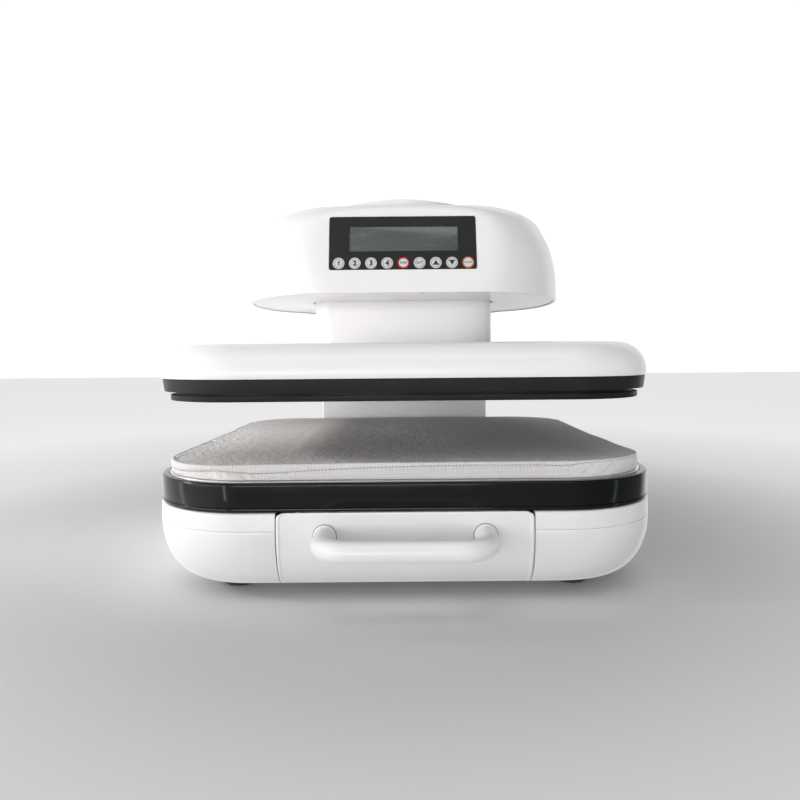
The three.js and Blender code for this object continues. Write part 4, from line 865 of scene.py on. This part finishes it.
def head_field(p):
    """Below zero inside the head's form. Points are (x, y, height over the underside)."""
    x, y, h = p[..., 0], p[..., 1], p[..., 2]
    share = np.clip(h / HEAD_HEIGHT, 0, 0.995)
    fall = 1 - share**2.8
    bulge = 1 + 0.024 * np.exp(-(((share - 0.79) / 0.09) ** 2))
    side = DOME_SIDE * fall**0.22 * bulge
    ahead = y < DOME_Y
    reach = np.where(ahead, DOME_FRONT * fall**0.162, DOME_REAR * fall**0.221)
    power = np.where(ahead, 2.22, 2.5)
    dy = np.abs(y - DOME_Y) / reach
    radial = (np.abs(x / side) ** power + dy**power) ** (1 / power)
    dome = (radial - 1) * np.minimum(side, reach)
    wall, rear = np.abs(x) - NECK_SIDE, y - BASE_REAR
    top = h - NECK_TOP
    neck = rounded_corner(top, wall, NECK_ROUND, np.maximum(wall, top))
    neck = np.maximum(neck, PRESS_Y - y)
    neck = smooth_max(neck, rounded_corner(rear, wall, REAR_ROUND, rear), 18)
    form = smooth_min(dome, neck, 14)
    face = (FACE_Y + h * math.tan(LEAN) - y) * math.cos(LEAN)
    slope = (h - FACE_TOP - (y - FACE_TOP_Y) * math.tan(SLOPE)) * math.cos(SLOPE)
    form = smooth_max(form, slope, 13.8)
    form = smooth_max(form, h - HEAD_FLAT, 8)
    form = smooth_max(form, face, 5.8)
    ring = np.hypot(x, y - PRESS_Y) / CAP_RADIUS
    cap = np.maximum(h - HEAD_FLAT - CAP_RISE * (1 - ring**2), (ring - 1) * CAP_RADIUS)
    return smooth_min(form, cap, 6)


def head_surface(directions):
    """The distance from HEAD_CENTRE to the head's surface along each direction."""
    low, high = np.zeros(directions.shape[:-1]), np.full(directions.shape[:-1], 420.0)
    for _ in range(26):
        middle = (low + high) / 2
        inside = head_field(HEAD_CENTRE + directions * middle[..., None]) < 0
        low, high = np.where(inside, middle, low), np.where(inside, high, middle)
    return (low + high) / 2


def around(angles):
    """Level directions at angles about the vertical."""
    return np.stack([np.cos(angles), np.sin(angles), np.zeros_like(angles)], axis=-1)


def head():
    """The head's shell, sampled along directions that are even along its lower edge."""
    dense = np.linspace(0, TAU, 2401)
    flat = around(dense)
    edge = flat * head_surface(flat)[:, None]
    run = np.concatenate([[0], np.cumsum(np.linalg.norm(np.diff(edge, axis=0), axis=1))])
    sides, levels = 300, 110
    azimuths = np.interp(np.arange(sides) / sides * run[-1], run, dense)
    lifts = np.linspace(0, math.pi / 2, levels + 1)[:-1]
    a, e = np.meshgrid(azimuths, lifts)
    directions = np.stack([np.cos(a) * np.cos(e), np.sin(a) * np.cos(e), np.sin(e)], axis=-1)
    distance = head_surface(directions)

    def skin(inset):
        return HEAD_CENTRE + directions * (distance - inset)[..., None] + (0, 0, HEAD_Z)

    outer, inner, lip = skin(0), skin(HEAD_WALL), skin(0.6)[0]
    inner[0, :, 2] = HEAD_Z
    rings = [*inner[::-1], lip, outer[0] + (0, 0, 0.5), *outer[1:]]
    return mesh_object("head_shell", loft(rings), M["white_head"], 40)


def head_floor():
    """The plate that closes the head below, with the slot that the shroud slides in."""
    flat = around(np.linspace(0, TAU, 721)[:-1])
    edge = (HEAD_CENTRE + flat * (head_surface(flat) - HEAD_WALL - 0.4)[:, None])[:, :2]
    floor = mesh_object("head_floor_plate", loft([
        level(edge, HEAD_Z + 0.8), level(edge, HEAD_Z + 3.3)]), M["white_head"])
    room, through = 2.2, (HEAD_Z - 5, HEAD_Z + 10)
    width, depth, corner, middle = SHROUD
    slot = mesh_object("slot", pan((width + 2 * room, depth + 2 * room, corner + room, middle), [
        (0, z) for z in through]), M["steel"])
    back = block("back_cut", (-99.7, 99.7), (BASE_REAR - 100, BASE_REAR + 10), through)
    carve(floor, [slot, back])
    place(floor, "base", "white_shell", "head_floor")


def on_face(verts):
    """Points of the leaning face's own frame (across, up, out) in the row frame."""
    v = np.asarray(verts, float)
    x, up, out = v[:, 0], v[:, 1], v[:, 2]
    return np.column_stack([
        x,
        FACE_Y + up * math.sin(LEAN) - out * math.cos(LEAN),
        HEAD_Z + up * math.cos(LEAN) + out * math.sin(LEAN),
    ])


def face_slab(name, size, corner, centre, profile, material):
    """A round-cornered slab on the leaning face, from its (inset, out) profile."""
    x, up = centre
    rings = [level(outline(*size, corner, inset, 8, cy=up, cx=x)[0], out)
             for inset, out in profile]
    verts, faces = loft(rings)
    return mesh_object(name, (on_face(verts), faces), material)


def face_disc(centre, profile, sides=48):
    """A turned shape on the leaning face, from its (radius, out) profile."""
    ring = around(np.arange(sides) / sides * TAU)
    verts, faces = loft([(*centre, out) + radius * ring for radius, out in profile])
    return on_face(verts), faces


PANEL = (122, 46.5)
PANEL_MID = (0, 20 + PANEL[1] / 2)
WINDOW = (90.5, 22.3)
WINDOW_MID = (0.8, 46.85)
KEY_UP, KEY_PITCH, KEY_RADIUS, KEY_SHIFT = 25.4, 13.37, 4.9, 0.5
KEYS = ["1", "2", "3", "4", "stop", "set", "up", "down", "enter"]


def grown(size, by):
    return size[0] + by, size[1] + by


def key_centre(i):
    return (i - 4) * KEY_PITCH + KEY_SHIFT, KEY_UP


def head_and_panel():
    shell = head()
    carve(shell, [
        face_slab("recess", grown(PANEL, 0.6), 1.9, PANEL_MID, [(0, -1.8), (0, 30)], M["steel"]),
        face_slab("hole", grown(PANEL, -2.4), 1.0, PANEL_MID, [(0, -30), (0, 10)], M["steel"]),
    ], 0, 40)
    place(shell, "base", "white_shell", "head_cover")
    head_floor()

    bezel = face_slab("bezel", PANEL, 2.0, PANEL_MID,
                      [(0, -1.5), (0, 0.1), (0.15, 0.35), (0.5, 0.5)], M["panel_film"])
    through = (-9, 9)
    cutters = [face_slab("window", WINDOW, 0.6, WINDOW_MID, [(0, out) for out in through],
                         M["steel"])]
    for i in range(len(KEYS)):
        disc = face_disc(key_centre(i), [(KEY_RADIUS + 0.2, out) for out in through])
        cutters.append(mesh_object(f"key_hole_{i}", disc, M["steel"]))
    carve(bezel, cutters, 0.12, 12)
    place(bezel, "base", "black_gloss", "control_panel")

    glass = face_slab("display_glass", grown(WINDOW, 3), 0.6, WINDOW_MID,
                      [(0, -1.6), (0, -0.5), (0.3, -0.3)], M["lcd"])
    place(glass, "base", "lcd", "lcd_screen")


INK = 0.04  # half the height of a key's mark


def glyph(text, size, bold):
    """Flat letters as (verts, faces), centred, in millimetres."""
    curve = bpy.data.curves.new("letters", "FONT")
    curve.body = text
    curve.size = size * MM
    curve.offset = bold * MM
    curve.align_x = "CENTER"
    curve.align_y = "CENTER"
    curve.extrude = INK * MM
    obj = bpy.data.objects.new("letters", curve)
    bpy.context.scene.collection.objects.link(obj)
    graph = bpy.context.evaluated_depsgraph_get()
    mesh = bpy.data.meshes.new_from_object(obj.evaluated_get(graph))
    verts = np.array([v.co for v in mesh.vertices]) / MM
    middle = (verts.max(axis=0) + verts.min(axis=0)) / 2
    faces = [tuple(p.vertices) for p in mesh.polygons]
    bpy.data.objects.remove(obj)
    bpy.data.meshes.remove(mesh)
    return verts - middle, faces


def prism(base):
    """A thin flat solid from its outline."""
    count = len(base)
    verts = [(x, y, z) for z in (-INK, INK) for x, y in base]
    sides = [(i, (i + 1) % count, count + (i + 1) % count, count + i) for i in range(count)]
    return np.array(verts), [tuple(range(count))[::-1], tuple(range(count, 2 * count)), *sides]


def figure_one(height, stem):
    """A flat 1 with its flag."""
    half = height / 2
    return prism([
        (stem * 0.8, -half), (stem * 0.8, half), (0.2 * stem, half), (-stem, half - 1.1),
        (-stem, half - 1.9), (-0.2 * stem, half - 1.2), (-0.2 * stem, -half),
    ])


def triangle(side, sign):
    low, high = -side * 0.42 * sign, side * 0.48 * sign
    return prism([(-side / 2, low), (side / 2, low), (0, high)])


def keys():
    """The nine keys: a cap with a coloured ring, a groove, a lens, and the mark on it."""
    rings = {"stop": "ink_red", "enter": "ink_orange"}
    words = {"stop": ("STOP", 2.3, 0.09), "set": ("SET", 3.5, 0.0), "enter": ("ENTER", 2.0, 0.03)}
    for i, name in enumerate(KEYS):
        mid = key_centre(i)
        rim = KEY_RADIUS - {"stop": 0.95, "enter": 0.8}.get(name, 1.3)
        cap = face_disc(mid, [
            (KEY_RADIUS / 2, -4.4), (KEY_RADIUS / 2, -2.6), (KEY_RADIUS + 0.5, -2.6),
            (KEY_RADIUS + 0.5, -1.8), (KEY_RADIUS, -1.8), (KEY_RADIUS, 0.55),
            (KEY_RADIUS - 0.1, 0.82), (KEY_RADIUS - 0.35, 0.97), (KEY_RADIUS - 0.6, 1.0),
            (rim + 0.12, 0.96), (rim, 0.85), (rim - 0.05, 0.7),
        ])
        groove = face_disc(mid, [(rim + 0.02, 0.6), (rim + 0.02, 0.76), (rim - 0.3, 0.76)])
        lens = face_disc(mid, [
            (rim - 0.28, 0.6), (rim - 0.28, 0.8), (rim - 0.45, 0.9), (rim - 1.1, 0.94),
            (rim - 2.2, 0.96), (0.3, 0.97),
        ])
        parts = [cap, groove, lens]
        obj = mesh_object(f"key_{name}", parts, M[rings.get(name, "key_white")], 30)
        obj.data.materials.append(M["key_groove"])
        obj.data.materials.append(M["key_lens"])
        ends = np.cumsum([len(faces) for _, faces in parts])
        for face in obj.data.polygons:
            face.material_index = int(np.searchsorted(ends, face.index, side="right"))
        place(obj, f"key_{name}", "key_white", f"button_{name}")
        if name in words:
            verts, faces = glyph(*words[name])
        elif name in ("up", "down"):
            verts, faces = triangle(5.0, 1 if name == "up" else -1)
        elif name == "1":
            verts, faces = figure_one(4.2, 0.9)
        else:
            verts, faces = glyph(name, 5.9, 0.3)
        verts = on_face(verts + (*mid, 0.975))
        mark = mesh_object(f"mark_{name}", (verts, faces), M["ink"])
        place(mark, f"key_{name}", "key_white")


# ---- Camera, floor and lights


def camera():
    """The photograph's view: level and straight ahead, shifted, and rolled by half a degree."""
    data = bpy.data.cameras.new("camera")
    data.sensor_width = 36
    data.lens = 30.06
    data.shift_x = -0.0046
    data.shift_y = -0.0536
    data.clip_start = 0.01
    obj = bpy.data.objects.new("camera", data)
    obj.location = (0, -0.7132, 0.180)
    obj.rotation_euler = (math.pi / 2, math.radians(0.5), 0)
    bpy.context.scene.collection.objects.link(obj)
    bpy.context.scene.camera = obj


def aim_light(data, power, place_at, target, color=(1, 1, 1)):
    data.energy = power
    data.color = color
    obj = bpy.data.objects.new(data.name, data)
    obj.location = place_at
    aim = Vector(target) - Vector(place_at)
    obj.rotation_euler = aim.to_track_quat("-Z", "Y").to_euler()
    bpy.context.scene.collection.objects.link(obj)
    return obj


def area_light(name, size, *aimed):
    data = bpy.data.lights.new(name, "AREA")
    data.shape = "RECTANGLE"
    data.size, data.size_y = size
    return aim_light(data, *aimed)


def spot_light(name, cone, *aimed):
    """A soft snooted light."""
    data = bpy.data.lights.new(name, "SPOT")
    data.spot_size = math.radians(cone)
    data.spot_blend = 1.0
    data.shadow_soft_size = 0.1
    return aim_light(data, *aimed)


# The lesser area lights: name, size, power, place, target and colour, in metres and watts.
SOFT_LIGHTS = [
    ("top", (1.2, 0.8), 0.6, (0, 0.1, 1.8), (0, 0, 0.1)),
    ("brow", (1.2, 0.4), 2.1, (0, -0.78, 1.35), (0, -0.2, 0.1), (0.94, 0.98, 1)),
    ("cool_strip", (0.16, 1.3), 0.9, (-1.5, -0.15, 0.05), (0, -0.15, 0.05), (0.75, 0.85, 1)),
    ("warm_strip", (0.05, 1.3), 1.0, (-0.99, -1.58, 0.05), (0, 0, 0.05), (1, 0.86, 0.80)),
    ("rim_glint", (0.3, 0.14), 0.7, (-1.3, -0.1, 0.95), (0, 0, 0.1)),
    ("right_strip", (0.07, 1.3), 0.35, (1.35, -0.6, 0.05), (0, 0, 0.05), (0.6, 1, 0.95)),
]
STUDIO = 1.6  # the brightness that the walls below are shares of
BACKDROP, ROOM_LEFT, ROOM_FRONT, ROOM_RIGHT = 0.664, 0.61, 0.29, 0.11
FLOOR_GLOW = 0.3


def studio():
    """A pale floor with painted shade near the press and a painted glow that grows away from it,
    the room, and the lights.
    """
    mat, tree, links = new_material("studio_floor")
    shader = tree["Principled BSDF"]
    vector = mapped(tree, links)
    away = tree.new("ShaderNodeVectorMath")
    away.operation = "LENGTH"
    links.new(vector, away.inputs[0])
    # Painted shade: the floor's colour darkens from 0.9 to 0.66 near the press.
    tone = tint(tree, links, spread(tree, links, away.outputs["Value"], 0, 1, 0.3, 0.6),
                (0.66, 0.66, 0.66), (0.90, 0.90, 0.90))
    links.new(tone, shader.inputs["Base Color"])
    links.new(tone, shader.inputs["Emission Color"])
    # Painted light: the floor glows, more so away from the press, though it is no lamp.
    painted_glow = spread(tree, links, away.outputs["Value"], 0.02, FLOOR_GLOW, 0.35, 1.1)
    links.new(painted_glow, shader.inputs["Emission Strength"])
    shader.inputs["Roughness"].default_value = 0.8
    verts = [(x * 6000, y * 6000, 0) for x, y in ((-1, -1), (1, -1), (1, 1), (-1, 1))]
    floor = mesh_object("floor", (verts, [(0, 1, 2, 3)]), mat)
    floor.visible_glossy = False
    sweep_backdrop()
    area_light("key", (1.2, 0.4), 3.9, (-1.3, -1.0, 0.16), (0, 0, 0.15))
    area_light("front", (1.0, 0.4), 5.4, (-0.25, -1.7, 0.17), (0, 0, 0.17))
    fill = area_light("fill", (1.2, 0.4), 2.45, (1.4, -0.8, 0.2), (0, 0, 0.2))
    fill.visible_glossy = False
    for light in SOFT_LIGHTS:
        area_light(*light)
    # These reach between the plates, to the pad's top and to the column.
    spot_light("gap_high", 16, 85, (-1.49, -0.25, 0.67), (-0.14, -0.04, 0.10))
    spot_light("gap_low", 13, 34, (-1.46, -0.27, 0.35), (0.0, 0.0, 0.115))
    spot_light("column_spot", 8, 39, (-1.4, -0.9, 0.17), (-0.1, 0.17, 0.125))
    bpy.context.scene.view_settings.view_transform = "Standard"


def sweep_backdrop():
    """A white backdrop behind the object, a bright room to the left, a dim one to the right."""
    world = bpy.data.worlds.new("studio")
    bpy.context.scene.world = world
    world.use_nodes = True
    tree, links = world.node_tree.nodes, world.node_tree.links
    coords = tree.new("ShaderNodeTexCoord")
    parts = tree.new("ShaderNodeSeparateXYZ")
    links.new(coords.outputs["Generated"], parts.inputs["Vector"])
    room = tree.new("ShaderNodeValToRGB")
    room.color_ramp.interpolation = "EASE"
    stops = room.color_ramp.elements
    stops.new(0.36)
    for stop, share in zip(stops, (ROOM_LEFT, ROOM_FRONT, ROOM_RIGHT)):
        stop.color = (share, share, share, 1)
    links.new(spread(tree, links, parts.outputs["X"], 0, 1, -0.9, 0.9), room.inputs["Fac"])
    behind = spread(tree, links, parts.outputs["Y"], 0, 1, 0.5, 0.72)
    tone = tint(tree, links, behind, room.outputs["Color"], (BACKDROP,) * 3)
    links.new(tone, tree["Background"].inputs["Color"])
    tree["Background"].inputs["Strength"].default_value = STUDIO


def dress_frame():
    """Gives each node of the frame its slot's material."""
    for sub in frame["record"]["subparts"]:
        obj = nodes[sub["node"]]
        obj.data.materials.clear()
        obj.data.materials.append(M[sub["material_slot"]])


dress_frame()
camera()
studio()
base_shells()
drawer()
handle()
tray()
pad_top()
pad_band()
platen()
head_and_panel()
keys()
